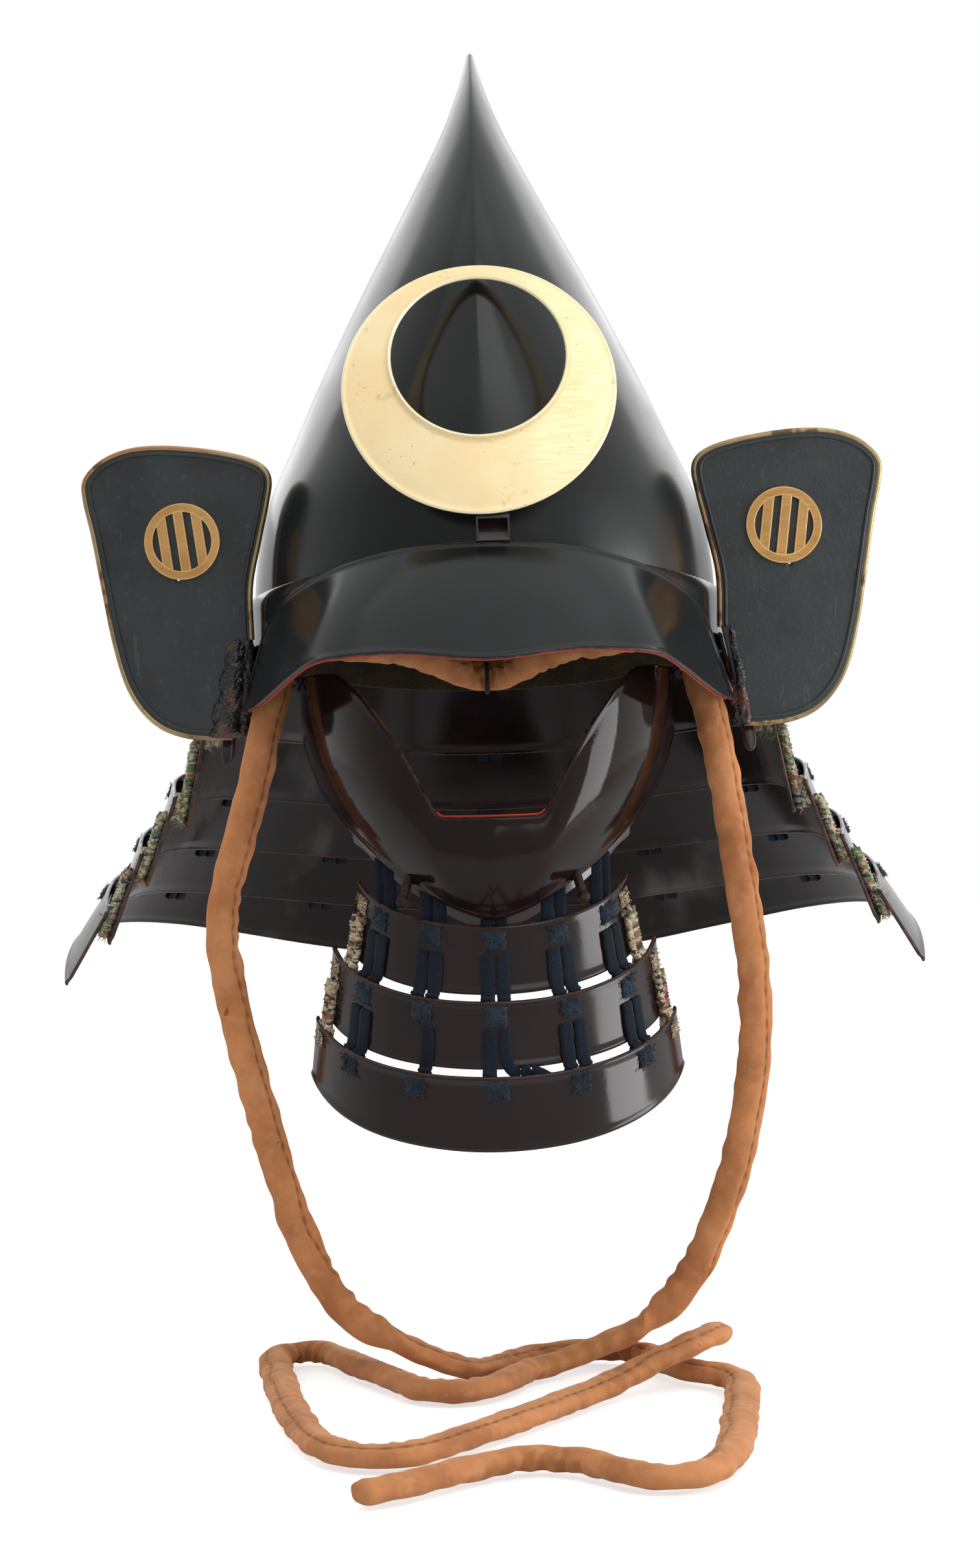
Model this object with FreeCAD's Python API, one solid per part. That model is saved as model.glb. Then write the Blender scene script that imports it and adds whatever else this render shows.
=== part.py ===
import FreeCAD, Part
import math
import os

# A tall peach-shaped helmet with a peak, a gilt ring crest, turned-back wings,
# a five-plate neck guard, and a half mask that carries a three-plate throat guard.
# The origin is the centre of the bowl's rim plane. The wearer faces -Y and +Z is up.
# Lengths are in millimetres, angles in degrees, and shares are parts of a named size.

# Fits and common values
FIT_GAP = 0.4
CUT_OVERRUN = 5.0
TOUCHING = 0.001
RIVET_RADIUS = 1.6
RIVET_HEAD_RADIUS = 3.2
RIVET_HEAD_HEIGHT = 1.0
HALF_TURN = 180.0
TILT_STEPS = 24

# Bowl: horizontal sections, each pointed at its front and back by its keel power
BOWL_HALF_WIDTH = 114.0
BOWL_FRONT = 122.0
BOWL_BACK = 125.0
BOWL_HEIGHT = 292.0
BOWL_WALL = 2.0
BOWL_CROWN_SOLID = 26.0
BOWL_STEPS = 24
# height, half width, front and back as shares, and the keel power
BOWL_SECTION_SHARES = [
    (0.0, 1.0, 1.0, 1.0, 1.0),
    (0.07, 1.0, 1.0, 1.0, 1.0),
    (0.2, 0.955, 0.98, 0.98, 1.0),
    (0.34, 0.807, 0.91, 0.93, 1.04),
    (0.425, 0.709, 0.85, 0.87, 1.12),
    (0.514, 0.596, 0.78, 0.79, 1.26),
    (0.603, 0.478, 0.70, 0.69, 1.42),
    (0.692, 0.355, 0.585, 0.57, 1.6),
    (0.781, 0.235, 0.45, 0.44, 1.74),
    (0.866, 0.127, 0.30, 0.31, 1.85),
    (0.94, 0.055, 0.14, 0.19, 1.88),
    (0.98, 0.026, 0.045, 0.115, 1.9),
    (1.0, 0.012, -0.005, 0.075, 1.9),
]

# Rim band round the foot of the bowl
BAND_STEP = 3.5
BAND_GAP = 0.7
BAND_DROP = 10.0
BAND_HEIGHT = 21.6
BAND_FRONT_RISE = 12.0
BAND_SHOULDER = 7.0
BAND_SLIT = 0.6
BAND_STEPS = 8
BAND_RIVET_COUNT = 5
BAND_RIVET_FIRST = 76.0
BAND_RIVET_LAST = 152.0

# Peak over the brow
VISOR_THICKNESS = 1.8
VISOR_REACH = 39.0
VISOR_RISE = 39.0
VISOR_DROP = 35.0
VISOR_END_ANGLE = 67.0
VISOR_BULGE = 2.6
VISOR_EDGE_INSET = 2.6
VISOR_STEPS = 32
VISOR_RUNGS = 5
# angle share, height share, reach share
VISOR_TOP_SHARES = [
    (0.0, 1.0, 0.0),
    (0.224, 0.98, 0.0),
    (0.467, 0.905, 0.0),
    (0.7, 0.77, 0.0),
    (0.85, 0.635, 0.0),
    (0.925, 0.5, 0.012),
    (0.97, 0.28, 0.08),
    (1.0, 0.06, 0.2),
]
VISOR_LOW_SHARES = [
    (0.0, 0.243, 1.0),
    (0.239, 0.297, 0.974),
    (0.428, 0.277, 0.923),
    (0.578, 0.176, 0.667),
    (0.7, 0.088, 0.487),
    (0.836, 0.027, 0.333),
    (0.925, 0.007, 0.274),
    (1.0, 0.0, 0.244),
]
VISOR_RIVET_ANGLES = [-44.0, -22.0, 0.0, 22.0, 44.0]

# Crest socket and the crest that lifts out of it
CREST_LEAN_SHARE = 1.162408
SOCKET_WIDTH = 15.2
SOCKET_DEPTH = 9.0
SOCKET_WALL = 0.9
SOCKET_FRONT_LENGTH = 17.5
SOCKET_BACK_LENGTH = 25.0
SOCKET_TOP_Z = 62.0
SOCKET_ASIDE = 4.6
TANG_GAP = 0.5
TANG_DEPTH = 5.6
TANG_INSERT = 13.0
TANG_RISE = 18.0
TANG_STEP = 2.4
CREST_RADIUS = 63.0
CREST_HOLE_SHARE = 0.651
CREST_HOLE_RISE_SHARE = 0.246
CREST_THICKNESS = 1.3
CREST_DISH_RADIUS = 620.0
CREST_LIP_WIDTH = 1.3
CREST_LIP_HEIGHT = 2.2
CREST_CENTRE_Z = 111.0
CREST_RIVET_SPACING = 9.0

# Cloth lining and its bound edge
LINER_THICKNESS = 1.6
LINER_TOP = 112.0
LINER_DROP = 1.0
LINER_EDGE_THICKNESS = 1.8
LINER_EDGE_BACK_DROP = 22.0
LINER_EDGE_SAG_POWER = 1.5
LINER_STEPS = 14
# height share of the rise above the rim, width share of the bowl's inside
LINER_SHARES = [
    (0.0, 0.9965),
    (0.06, 0.99),
    (0.12, 0.972),
    (0.36, 0.94),
    (0.62, 0.84),
    (0.84, 0.64),
    (0.96, 0.4),
    (1.0, 0.18),
]

# Neck guard: five plates, the top one fixed and carrying the turned-back wings
LAME_COUNT = 5
LAME_THICKNESS = 2.0
LAME_OVERLAP = 15.0
NECK_FLARE_SHARE = 1.7872
NECK_DROP = 171.0
NECK_FRONT_Y = -35.0
NECK_TOP_GAP = 1.6
WING_JOIN_ANGLE = 5.0
NECK_SIDE_ANGLE = 110.0
LAME_STEPS = 26
# inner radius at the top and bottom edge of each plate
LAME_TOP_SHARES = [0.0, 0.662, 0.738, 0.819, 0.9]
LAME_LOW_SHARES = [0.619, 0.714, 0.81, 0.9, 1.0]
# depth of each plate's lower edge at the back, at the side and at its front end
LAME_BACK_SHARES = [0.327, 0.503, 0.673, 0.836, 1.0]
LAME_SIDE_SHARES = [0.269, 0.444, 0.596, 0.725, 0.813]
LAME_FRONT_SHARES = [0.292, 0.526, 0.684, 0.848, 0.959]
NECK_RIVET_COUNT = 9
NECK_RIVET_SPREAD = 160.0

# Turned-back wings on the ends of the top plate
WING_FOLD_SHARE = 0.966
WING_FOLD_Y = -43.0
WING_FOOT_Z = -47.5
WING_WIDTH = 81.5
WING_HEIGHT = 144.0
WING_CURVE_RADIUS = 330.0
WING_RIM_WIDTH = 3.0
WING_RIM_BACK = 0.8
WING_RIM_FRONT = 3.4
FACING_THICKNESS = 1.2
# out share of the width from the fold, up share of the height from the foot
WING_OUTLINE_SHARES = [
    (-0.02, 0.335),
    (-0.02, 0.51),
    (-0.075, 0.66),
    (-0.13, 0.795),
    (-0.148, 0.868),
    (-0.115, 0.912),
    (-0.03, 0.942),
    (0.11, 0.965),
    (0.3, 0.984),
    (0.5, 0.995),
    (0.68, 0.992),
    (0.83, 0.968),
    (0.93, 0.93),
    (0.987, 0.885),
    (0.985, 0.82),
    (0.94, 0.7),
    (0.885, 0.52),
    (0.83, 0.345),
    (0.76, 0.2),
    (0.67, 0.108),
    (0.55, 0.045),
    (0.4, 0.012),
    (0.25, 0.002),
    (0.124, 0.0),
]
BADGE_RADIUS = 18.5
BADGE_RING_WIDTH = 2.6
BADGE_THICKNESS = 1.8
BADGE_BAR_WIDTH = 6.4
BADGE_BAR_GAP = 3.0
BADGE_OUT_SHARE = 0.39
BADGE_UP_SHARE = 0.67

# Half mask
MASK_WIDTH_SHARE = 0.8009
MASK_CENTRE_Y = -20.0
MASK_DEPTH_EXTRA = 34.0
MASK_THICKNESS = 2.2
MASK_DROP = 134.0
MASK_END_ANGLE = 100.0
MASK_BULGE = 4.0
MASK_TUCK = 12.0
MASK_CHIN_SHARE = 0.85
MASK_STEPS = 40
MASK_RUNGS = 8
# angle, and depth below the rim plane as a share of the mask's drop
MASK_TOP_SHARES = [
    (0.0, 0.647),
    (14.0, 0.645),
    (16.0, 0.63),
    (18.5, 0.577),
    (24.0, 0.465),
    (30.3, 0.352),
    (36.0, 0.27),
    (42.0, 0.2),
    (51.5, 0.14),
    (64.0, 0.13),
    (80.0, 0.13),
    (100.0, 0.13),
]
MASK_LOW_SHARES = [
    (0.0, 1.0),
    (9.3, 0.975),
    (17.1, 0.935),
    (27.0, 0.874),
    (35.0, 0.82),
    (44.5, 0.742),
    (52.0, 0.676),
    (65.0, 0.555),
    (79.0, 0.41),
    (90.0, 0.35),
    (100.0, 0.33),
]
FLANGE_THICKNESS = 1.4
FLANGE_ABOVE = 9.0
FLANGE_BELOW = 4.5
FLANGE_END_ANGLE = 52.0
PEG_RADIUS = 2.2
PEG_LENGTH = 12.0
PEG_ANGLE = 27.5
PEG_TILT = 58.0
PEG_UP = 4.5
PEG_KNOB_SHARE = 1.35
TIE_RADIUS = 2.4
TIE_DROP = 14.0
TIE_KNOT_RADIUS = 4.2

# Throat guard: three plates that hang from the mask
THROAT_CENTRE_Y = -74.2
THROAT_DEPTH_EXTRA = -6.0
THROAT_THICKNESS = 1.8
THROAT_DROP = 236.0
THROAT_STEPS = 18
THROAT_RADIUS = 89.0
THROAT_TOP_SHARES = [0.742, 0.865, 0.966]
THROAT_LOW_SHARES = [0.798, 0.91, 1.0]
THROAT_END_ANGLES = [73.0, 79.0, 78.0]
# depth of the top and low edges at the centre and at the ends
THROAT_TOP_MID_SHARES = [0.578, 0.72, 0.86]
THROAT_TOP_END_SHARES = [0.487, 0.614, 0.754]
THROAT_LOW_MID_SHARES = [0.708, 0.847, 1.0]
THROAT_LOW_END_SHARES = [0.623, 0.746, 0.87]

# Lacing
LACE_WIDTH = 5.0
LACE_SPACING = 6.4
LACE_THICKNESS = 1.1
LACE_SEAT = 0.3
LACE_TUCK = 9.0
TIE_PAD_WIDTH = 12.0
TIE_PAD_HEIGHT = 9.0
TIE_PAD_DROP = 2.5
EAR_PAD_WIDTH = 4.0
EAR_PAD_INSET = 5.0
THROAT_COLUMN_SPACING = 29.5
THROAT_COLUMN_COUNT = 5
NECK_COLUMN_COUNT = 7
NECK_COLUMN_ANGLE = 29.0
LACE_START_SHARE = 0.45

# Chin cord: its loops inside the rim, the held stretch and the two free strands
CORD_DIAMETER = 14.0
BEND_SHARE = 0.45
CORD_LOOP_WIRE = 2.4
CORD_HELD_HALF = [
    (99.8, -42.8, -18.0),
    (95.8, -37.8, -7.0),
    (85.0, -21.0, -1.0),
    (73.0, -2.0, -1.0),
    (61.0, 18.0, -1.0),
    (43.0, 46.0, -2.0),
    (25.0, 74.0, -7.0),
    (9.0, 93.0, -15.0),
]
CORD_LEFT_ROUTE = [
    (-99.8, -42.8, -18.0),
    (-105.8, -50.3, -34.5),
    (-112.0, -54.0, -66.0),
    (-122.0, -58.0, -100.0),
    (-130.0, -61.0, -128.0),
    (-129.0, -65.0, -152.0),
    (-122.0, -69.0, -188.0),
    (-112.0, -72.0, -225.0),
    (-103.0, -75.0, -260.0),
    (-91.0, -79.0, -293.0),
    (-76.0, -82.0, -318.0),
    (-54.0, -85.0, -331.0),
    (-33.0, -87.0, -340.5),
    (-18.0, -82.0, -347.0),
    (-6.0, -68.0, -349.0),
    (4.0, -51.0, -349.0),
    (18.0, -37.0, -349.0),
    (39.0, -29.0, -349.0),
    (58.0, -33.0, -349.0),
    (71.0, -48.0, -349.0),
    (77.0, -69.0, -349.0),
    (87.0, -89.0, -349.0),
    (103.0, -102.0, -349.0),
    (108.0, -123.0, -349.0),
    (104.5, -160.0, -349.0),
    (100.0, -202.0, -349.0),
    (95.0, -244.0, -349.0),
    (88.0, -277.0, -349.0),
    (79.0, -298.0, -349.0),
    (64.0, -304.0, -349.0),
    (49.0, -295.0, -349.0),
    (34.0, -271.0, -349.0),
    (10.0, -259.0, -349.0),
    (-16.0, -276.0, -349.0),
    (-37.0, -300.0, -349.0),
    (-60.0, -316.0, -349.0),
]
CORD_RIGHT_ROUTE = [
    (99.8, -42.8, -18.0),
    (105.8, -50.3, -34.5),
    (112.0, -54.0, -68.0),
    (116.5, -58.0, -104.0),
    (121.0, -63.0, -140.0),
    (124.0, -67.0, -176.0),
    (121.5, -68.0, -213.0),
    (114.5, -63.0, -250.0),
    (103.5, -56.0, -284.0),
    (89.0, -52.0, -314.0),
    (68.0, -50.0, -334.0),
    (46.0, -53.0, -343.0),
    (26.0, -62.0, -348.0),
    (11.0, -75.0, -349.0),
    (2.0, -93.0, -349.0),
    (-6.0, -112.0, -349.0),
    (-20.0, -123.0, -349.0),
    (-37.0, -118.0, -349.0),
    (-48.0, -98.0, -349.0),
    (-58.0, -78.0, -349.0),
    (-69.0, -57.0, -349.0),
    (-78.5, -36.0, -349.0),
    (-87.0, -16.0, -349.0),
    (-101.5, -12.5, -349.0),
    (-112.5, -22.0, -349.0),
    (-112.0, -44.0, -349.0),
    (-107.5, -78.0, -349.0),
    (-102.0, -120.0, -349.0),
    (-95.0, -162.0, -349.0),
    (-87.0, -202.0, -349.0),
    (-79.0, -229.0, -349.0),
    (-67.0, -247.0, -349.0),
    (-50.0, -253.0, -349.0),
    (-33.0, -242.0, -349.0),
    (-16.0, -216.0, -349.0),
    (2.0, -190.0, -349.0),
    (20.0, -161.0, -349.0),
    (38.0, -133.0, -349.0),
    (50.0, -119.0, -347.0),
    (62.0, -109.0, -343.0),
    (74.0, -103.0, -339.0),
    (85.0, -98.0, -335.0),
    (94.0, -86.0, -334.0),
    (99.0, -75.0, -334.5),
    (101.0, -66.0, -335.0),
]

# Sizes worked out from the ones above
BAND_RADIUS = BOWL_HALF_WIDTH + BAND_STEP
HELMET_CENTRE_Y = (BOWL_BACK - BOWL_FRONT) / 2
HELMET_EXTRA = (BOWL_BACK + BOWL_FRONT) / 2 - BOWL_HALF_WIDTH
HELMET = (HELMET_CENTRE_Y, HELMET_EXTRA)
MASK = (MASK_CENTRE_Y, MASK_DEPTH_EXTRA)
THROAT = (THROAT_CENTRE_Y, THROAT_DEPTH_EXTRA)
CREST_HOLE_RADIUS = CREST_RADIUS * CREST_HOLE_SHARE
CREST_HOLE_RISE = CREST_RADIUS * CREST_HOLE_RISE_SHARE
NECK_RADIUS = BAND_RADIUS * NECK_FLARE_SHARE
WING_FOLD_X = BAND_RADIUS * WING_FOLD_SHARE
MASK_RADIUS = BOWL_HALF_WIDTH * MASK_WIDTH_SHARE


# Geometry helpers


def around(ring, angle, radius, z):
    """A place on a ring of ellipses that keep one centre and one extra depth; angle 0 is the front."""
    centre, extra = ring
    turn = math.radians(angle)
    return FreeCAD.Vector(radius * math.sin(turn), centre - (radius + extra) * math.cos(turn), z)


def smooth(table, at, column=1):
    """The value in a column of a table at this place, without overshoot between its rows."""
    rows = [(row[0], row[column]) for row in table]
    at = min(max(at, rows[0][0]), rows[-1][0])
    i = next(k for k in range(len(rows) - 1) if at <= rows[k + 1][0])
    (x0, y0), (x1, y1) = rows[i], rows[i + 1]

    def slope(k):
        if k == 0 or k == len(rows) - 1:
            return 0.0
        before = (rows[k][1] - rows[k - 1][1]) / (rows[k][0] - rows[k - 1][0])
        after = (rows[k + 1][1] - rows[k][1]) / (rows[k + 1][0] - rows[k][0])
        return 0.0 if before * after <= 0 else 2 * before * after / (before + after)

    t = (at - x0) / (x1 - x0)
    bend = (x1 - x0) * (slope(i) * (t**3 - 2 * t**2 + t) + slope(i + 1) * (t**3 - t**2))
    return y0 * (2 * t**3 - 3 * t**2 + 1) + y1 * (3 * t**2 - 2 * t**3) + bend


def mix(start, end, share):
    return start + (end - start) * share


def spread(count, start, end):
    """Evenly spaced values from start to end."""
    return [mix(start, end, i / (count - 1)) for i in range(count)]


def curve(points):
    """An edge through points; every curve with as many points has the same knots."""
    if len(points) == 2:
        return Part.LineSegment(*points).toShape()
    spline = Part.BSplineCurve()
    spline.interpolate(Points=points, Parameters=[i / (len(points) - 1) for i in range(len(points))])
    return spline.toShape()


def loop(*runs):
    """A closed wire of curves through these runs of points, end to start."""
    edges = []
    for i, run in enumerate(runs):
        after = runs[(i + 1) % len(runs)]
        edges.append(curve(run))
        if run[-1].distanceToPoint(after[0]) > TOUCHING:
            edges.append(curve([run[-1], after[0]]))
    return Part.Wire(edges)


def shell(outer, inner, angles, steps):
    """A curved plate between two surfaces, lofted through its sections at these angles."""
    wires = []
    for angle in angles:
        down = [outer(angle, i / steps) for i in range(steps + 1)]
        up = [inner(angle, 1 - i / steps) for i in range(steps + 1)]
        wires.append(loop(down, up))
    return Part.makeLoft(wires, True)


def prism(wire, start, height):
    """A wire in the XZ plane, moved to start along Y and thickened towards +Y."""
    face = Part.Face(wire)
    face.translate(FreeCAD.Vector(0, start, 0))
    return face.extrude(FreeCAD.Vector(0, height, 0))


def mirrored(shape):
    """The same shape on the other side of the YZ plane."""
    return shape.mirror(FreeCAD.Vector(0, 0, 0), FreeCAD.Vector(1, 0, 0))


def rivet(place, direction, length):
    """A rivet whose head lies at place and whose shank runs along direction."""
    shank = Part.makeCylinder(RIVET_RADIUS, length, place, direction)
    back = direction * -1
    head = Part.makeCone(RIVET_HEAD_RADIUS, RIVET_RADIUS, RIVET_HEAD_HEIGHT, place, back)
    return shank.fuse(head).removeSplitter()


def outward(ring, angle):
    """The level direction that leads away from a ring's centre."""
    out = around(ring, angle, 1.0, 0) - around(ring, angle, 0.0, 0)
    return out.normalize()


def save(name, *solids):
    """Write one node, a solid or a group of separate solids."""
    shape = solids[0] if len(solids) == 1 else Part.makeCompound(list(solids))
    if not shape.isValid() or shape.Volume <= 0:
        print("not valid:", name, shape.isValid(), round(shape.Volume, 1))
    shape.exportStep("parts/" + name + ".step")


# Bowl, band and peak


def bowl_wire(share, inset):
    """The bowl's level section at a share of its height, drawn in by inset."""
    width = smooth(BOWL_SECTION_SHARES, share) * BOWL_HALF_WIDTH - inset
    front = smooth(BOWL_SECTION_SHARES, share, 2) * BOWL_FRONT - inset
    back = smooth(BOWL_SECTION_SHARES, share, 3) * BOWL_BACK - inset
    power = smooth(BOWL_SECTION_SHARES, share, 4)
    middle, reach = (back - front) / 2, (back + front) / 2
    half = []
    for turn in spread(BOWL_STEPS, 0.0, math.pi):
        side = width * max(math.sin(turn), 0.0) ** power
        half.append(FreeCAD.Vector(side, middle - reach * math.cos(turn), share * BOWL_HEIGHT))
    half[0].x = half[-1].x = 0
    other = [FreeCAD.Vector(-p.x, p.y, p.z) for p in reversed(half)]
    return Part.Wire([curve(half), curve(other)])


def bowl():
    shares = [row[0] for row in BOWL_SECTION_SHARES]
    outside = Part.makeLoft([bowl_wire(share, 0) for share in shares], True)
    top = 1 - BOWL_CROWN_SOLID / BOWL_HEIGHT
    below = bowl_wire(0, BOWL_WALL)
    below.translate(FreeCAD.Vector(0, 0, -CUT_OVERRUN))
    inside = [below] + [bowl_wire(share, BOWL_WALL) for share in shares if share < top]
    inside.append(bowl_wire(top, BOWL_WALL))
    return outside.cut(Part.makeLoft(inside, True))


def band_top(angle):
    return BAND_HEIGHT + BAND_FRONT_RISE * max(0.0, math.cos(math.radians(angle))) ** 2


def rim_band():
    """The band is one strip whose ends meet at the back, with a rounded upper shoulder."""

    def outer(angle, v):
        top = band_top(angle)
        depth = v * (top + BAND_DROP)
        round_off = max(0.0, 1 - depth / BAND_SHOULDER) ** 2
        return around(HELMET, angle, BAND_RADIUS - (BAND_STEP - 2 * BAND_GAP) * round_off, top - depth)

    def inner(angle, v):
        return around(HELMET, angle, BOWL_HALF_WIDTH + BAND_GAP, mix(band_top(angle), -BAND_DROP, v))

    slit = math.degrees(BAND_SLIT / BOWL_BACK)
    return shell(outer, inner, spread(2 * TILT_STEPS + 1, slit - HALF_TURN, HALF_TURN - slit), BAND_STEPS)


def visor_edge(table, angle):
    """Radius and height of one of the peak's edges at an angle."""
    share = abs(angle) / VISOR_END_ANGLE
    height = mix(-VISOR_DROP, VISOR_RISE, smooth(table, share))
    reach = VISOR_REACH * smooth(table, share, 2)
    return BAND_RADIUS + FIT_GAP + reach, height


def visor_place(angle, v, lift):
    """A place on the peak, v from its top edge to its lower edge."""
    top_radius, top_z = visor_edge(VISOR_TOP_SHARES, angle)
    low_radius, low_z = visor_edge(VISOR_LOW_SHARES, angle)
    bulge = VISOR_BULGE * math.sin(math.pi * v) * (1 - (angle / VISOR_END_ANGLE) ** 4)
    return around(HELMET, angle, mix(top_radius, low_radius, v) + bulge + lift, mix(top_z, low_z, v))


def visor():
    return shell(
        lambda angle, v: visor_place(angle, v, VISOR_THICKNESS),
        lambda angle, v: visor_place(angle, v, 0),
        spread(VISOR_STEPS + 1, -VISOR_END_ANGLE, VISOR_END_ANGLE),
        VISOR_RUNGS,
    )


def visor_rivets():
    """Rivets from inside the bowl into the peak, with their heads inside."""
    solids = []
    for angle in VISOR_RIVET_ANGLES:
        tall = visor_edge(VISOR_TOP_SHARES, angle)[1] - visor_edge(VISOR_LOW_SHARES, angle)[1]
        end = visor_place(angle, VISOR_EDGE_INSET / tall, VISOR_THICKNESS / 2)
        width_share = smooth(BOWL_SECTION_SHARES, end.z / BOWL_HEIGHT)
        start = around(HELMET, angle, BOWL_HALF_WIDTH * width_share - BOWL_WALL, end.z)
        solids.append(rivet(start, end - start, (end - start).Length))
    return solids


def band_rivets():
    """Rivets that hold the bowl in its band, with their heads inside the bowl."""
    solids = []
    for angle in spread(BAND_RIVET_COUNT, BAND_RIVET_FIRST, BAND_RIVET_LAST):
        start = around(HELMET, angle, BOWL_HALF_WIDTH - BOWL_WALL, BAND_HEIGHT / 2)
        solids.append(rivet(start, outward(HELMET, angle), BOWL_WALL + BAND_STEP / 2))
    return solids + [mirrored(solid) for solid in solids]


# Crest and socket, drawn upright with the socket's mouth at zero and then leaned back


def crest_lean():
    """The crest's lean, from the slope of the bowl's front behind it."""
    low, high = SOCKET_TOP_Z, CREST_CENTRE_Z + CREST_RADIUS
    front, back = [BOWL_FRONT * smooth(BOWL_SECTION_SHARES, z / BOWL_HEIGHT, 2) for z in (low, high)]
    return CREST_LEAN_SHARE * math.atan((front - back) / (high - low))


def leaned(shape, aside=0.0):
    """Lean a piece back and set it in front of the bowl, aside from the middle where it is given."""
    place = FreeCAD.Vector(aside, -BOWL_FRONT + FIT_GAP * 2, SOCKET_TOP_Z)
    shape.rotate(FreeCAD.Vector(0, 0, 0), FreeCAD.Vector(1, 0, 0), -math.degrees(crest_lean()))
    shape.translate(place)
    return shape


def crest_socket():
    """A flat tube whose back wall runs on down to the peak."""
    inner_width = SOCKET_WIDTH - 2 * SOCKET_WALL
    inner_depth = SOCKET_DEPTH - 2 * SOCKET_WALL
    tube = Part.makeBox(
        SOCKET_WIDTH,
        SOCKET_DEPTH,
        SOCKET_FRONT_LENGTH,
        FreeCAD.Vector(-SOCKET_WIDTH / 2, -SOCKET_DEPTH, -SOCKET_FRONT_LENGTH),
    )
    bore = Part.makeBox(
        inner_width,
        inner_depth,
        SOCKET_FRONT_LENGTH + 2 * CUT_OVERRUN,
        FreeCAD.Vector(-inner_width / 2, -SOCKET_DEPTH + SOCKET_WALL, -SOCKET_FRONT_LENGTH - CUT_OVERRUN),
    )
    back = Part.makeBox(
        SOCKET_WIDTH,
        SOCKET_WALL,
        SOCKET_BACK_LENGTH,
        FreeCAD.Vector(-SOCKET_WIDTH / 2, -SOCKET_WALL, -SOCKET_BACK_LENGTH),
    )
    cheek = Part.makePolygon(
        [
            FreeCAD.Vector(-SOCKET_WIDTH / 2, -SOCKET_DEPTH, -SOCKET_FRONT_LENGTH),
            FreeCAD.Vector(-SOCKET_WIDTH / 2, 0, -SOCKET_FRONT_LENGTH),
            FreeCAD.Vector(-SOCKET_WIDTH / 2, 0, -SOCKET_BACK_LENGTH),
            FreeCAD.Vector(-SOCKET_WIDTH / 2, -SOCKET_DEPTH, -SOCKET_FRONT_LENGTH),
        ]
    )
    left = Part.Face(cheek).extrude(FreeCAD.Vector(SOCKET_WALL, 0, 0))
    return leaned(tube.cut(bore).fuse([back, left, mirrored(left)]).removeSplitter(), SOCKET_ASIDE)


def crest_middle():
    """The crest ring's centre before it is leaned: out from the socket's back, and up from its mouth."""
    lean = crest_lean()
    sag = CREST_RADIUS**2 / (2 * CREST_DISH_RADIUS)
    out = SOCKET_DEPTH + 2 * FIT_GAP + CREST_THICKNESS + sag
    up = (CREST_CENTRE_Z - SOCKET_TOP_Z) / math.cos(lean) - out * math.tan(lean)
    return out, up


def crest_dish(front_lift, radius):
    """The part of a wide ball inside the crest's outline, its face lifted forwards."""
    out, up = crest_middle()
    ball = Part.makeSphere(CREST_DISH_RADIUS + front_lift, FreeCAD.Vector(0, -out + CREST_DISH_RADIUS, up))
    rod = Part.makeCylinder(radius, 4 * CREST_RADIUS, FreeCAD.Vector(0, 0, up), FreeCAD.Vector(0, -1, 0))
    return rod.common(ball)


def crest_hole(radius, length):
    out, up = crest_middle()
    start = FreeCAD.Vector(0, length - out, up + CREST_HOLE_RISE)
    return Part.makeCylinder(radius, 2 * length, start, FreeCAD.Vector(0, -1, 0))


def crest_ring():
    """A dished disc with its hole set high."""
    plate = crest_dish(0, CREST_RADIUS).cut(crest_dish(-CREST_THICKNESS, CREST_RADIUS + CUT_OVERRUN))
    return leaned(plate.cut(crest_hole(CREST_HOLE_RADIUS + CREST_LIP_WIDTH, CREST_RADIUS)))


def crest_lip():
    """The raised lip round the crest's hole."""
    lifted = crest_dish(CREST_LIP_HEIGHT - CREST_THICKNESS, CREST_RADIUS)
    plate = lifted.cut(crest_dish(-CREST_THICKNESS, CREST_RADIUS + CUT_OVERRUN))
    ring = plate.common(crest_hole(CREST_HOLE_RADIUS + CREST_LIP_WIDTH, CREST_RADIUS))
    return leaned(ring.cut(crest_hole(CREST_HOLE_RADIUS, CREST_RADIUS + CUT_OVERRUN)))


def tang_face():
    """How far out the face of the tang that meets the crest lies."""
    out, up = crest_middle()
    return out - CREST_THICKNESS - up**2 / (2 * CREST_DISH_RADIUS) - FIT_GAP / 2


def crest_tang():
    """A block that drops into the socket, with a shoulder that the crest is riveted to."""
    width = SOCKET_WIDTH - 2 * SOCKET_WALL - 2 * TANG_GAP
    back = SOCKET_WALL + TANG_GAP
    corner = FreeCAD.Vector(-width / 2, -back - TANG_DEPTH, -TANG_INSERT)
    block = Part.makeBox(width, TANG_DEPTH, TANG_INSERT + TANG_STEP, corner)
    corner = FreeCAD.Vector(-SOCKET_WIDTH / 2, -tang_face(), FIT_GAP)
    depth = tang_face() - back - TANG_STEP
    shoulder = Part.makeBox(SOCKET_WIDTH, depth, TANG_RISE - FIT_GAP, corner)
    return leaned(block.fuse(shoulder).removeSplitter(), SOCKET_ASIDE)


def crest_rivets():
    """Two blind rivets that hold the crest's foot to its tang, with no head to be seen in front."""
    solids = []
    out, up = crest_middle()
    length = CREST_THICKNESS + TANG_DEPTH / 2
    for step in (-1, 1):
        height = (TANG_RISE + step * CREST_RIVET_SPACING) / 2
        drop = (up - height) ** 2 / (2 * CREST_DISH_RADIUS)
        place = FreeCAD.Vector(0, -(out - drop - CREST_THICKNESS / 4), height)
        pin = Part.makeCylinder(RIVET_RADIUS, length, place, FreeCAD.Vector(0, 1, 0))
        solids.append(leaned(pin, SOCKET_ASIDE))
    return solids


# Lining


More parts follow.
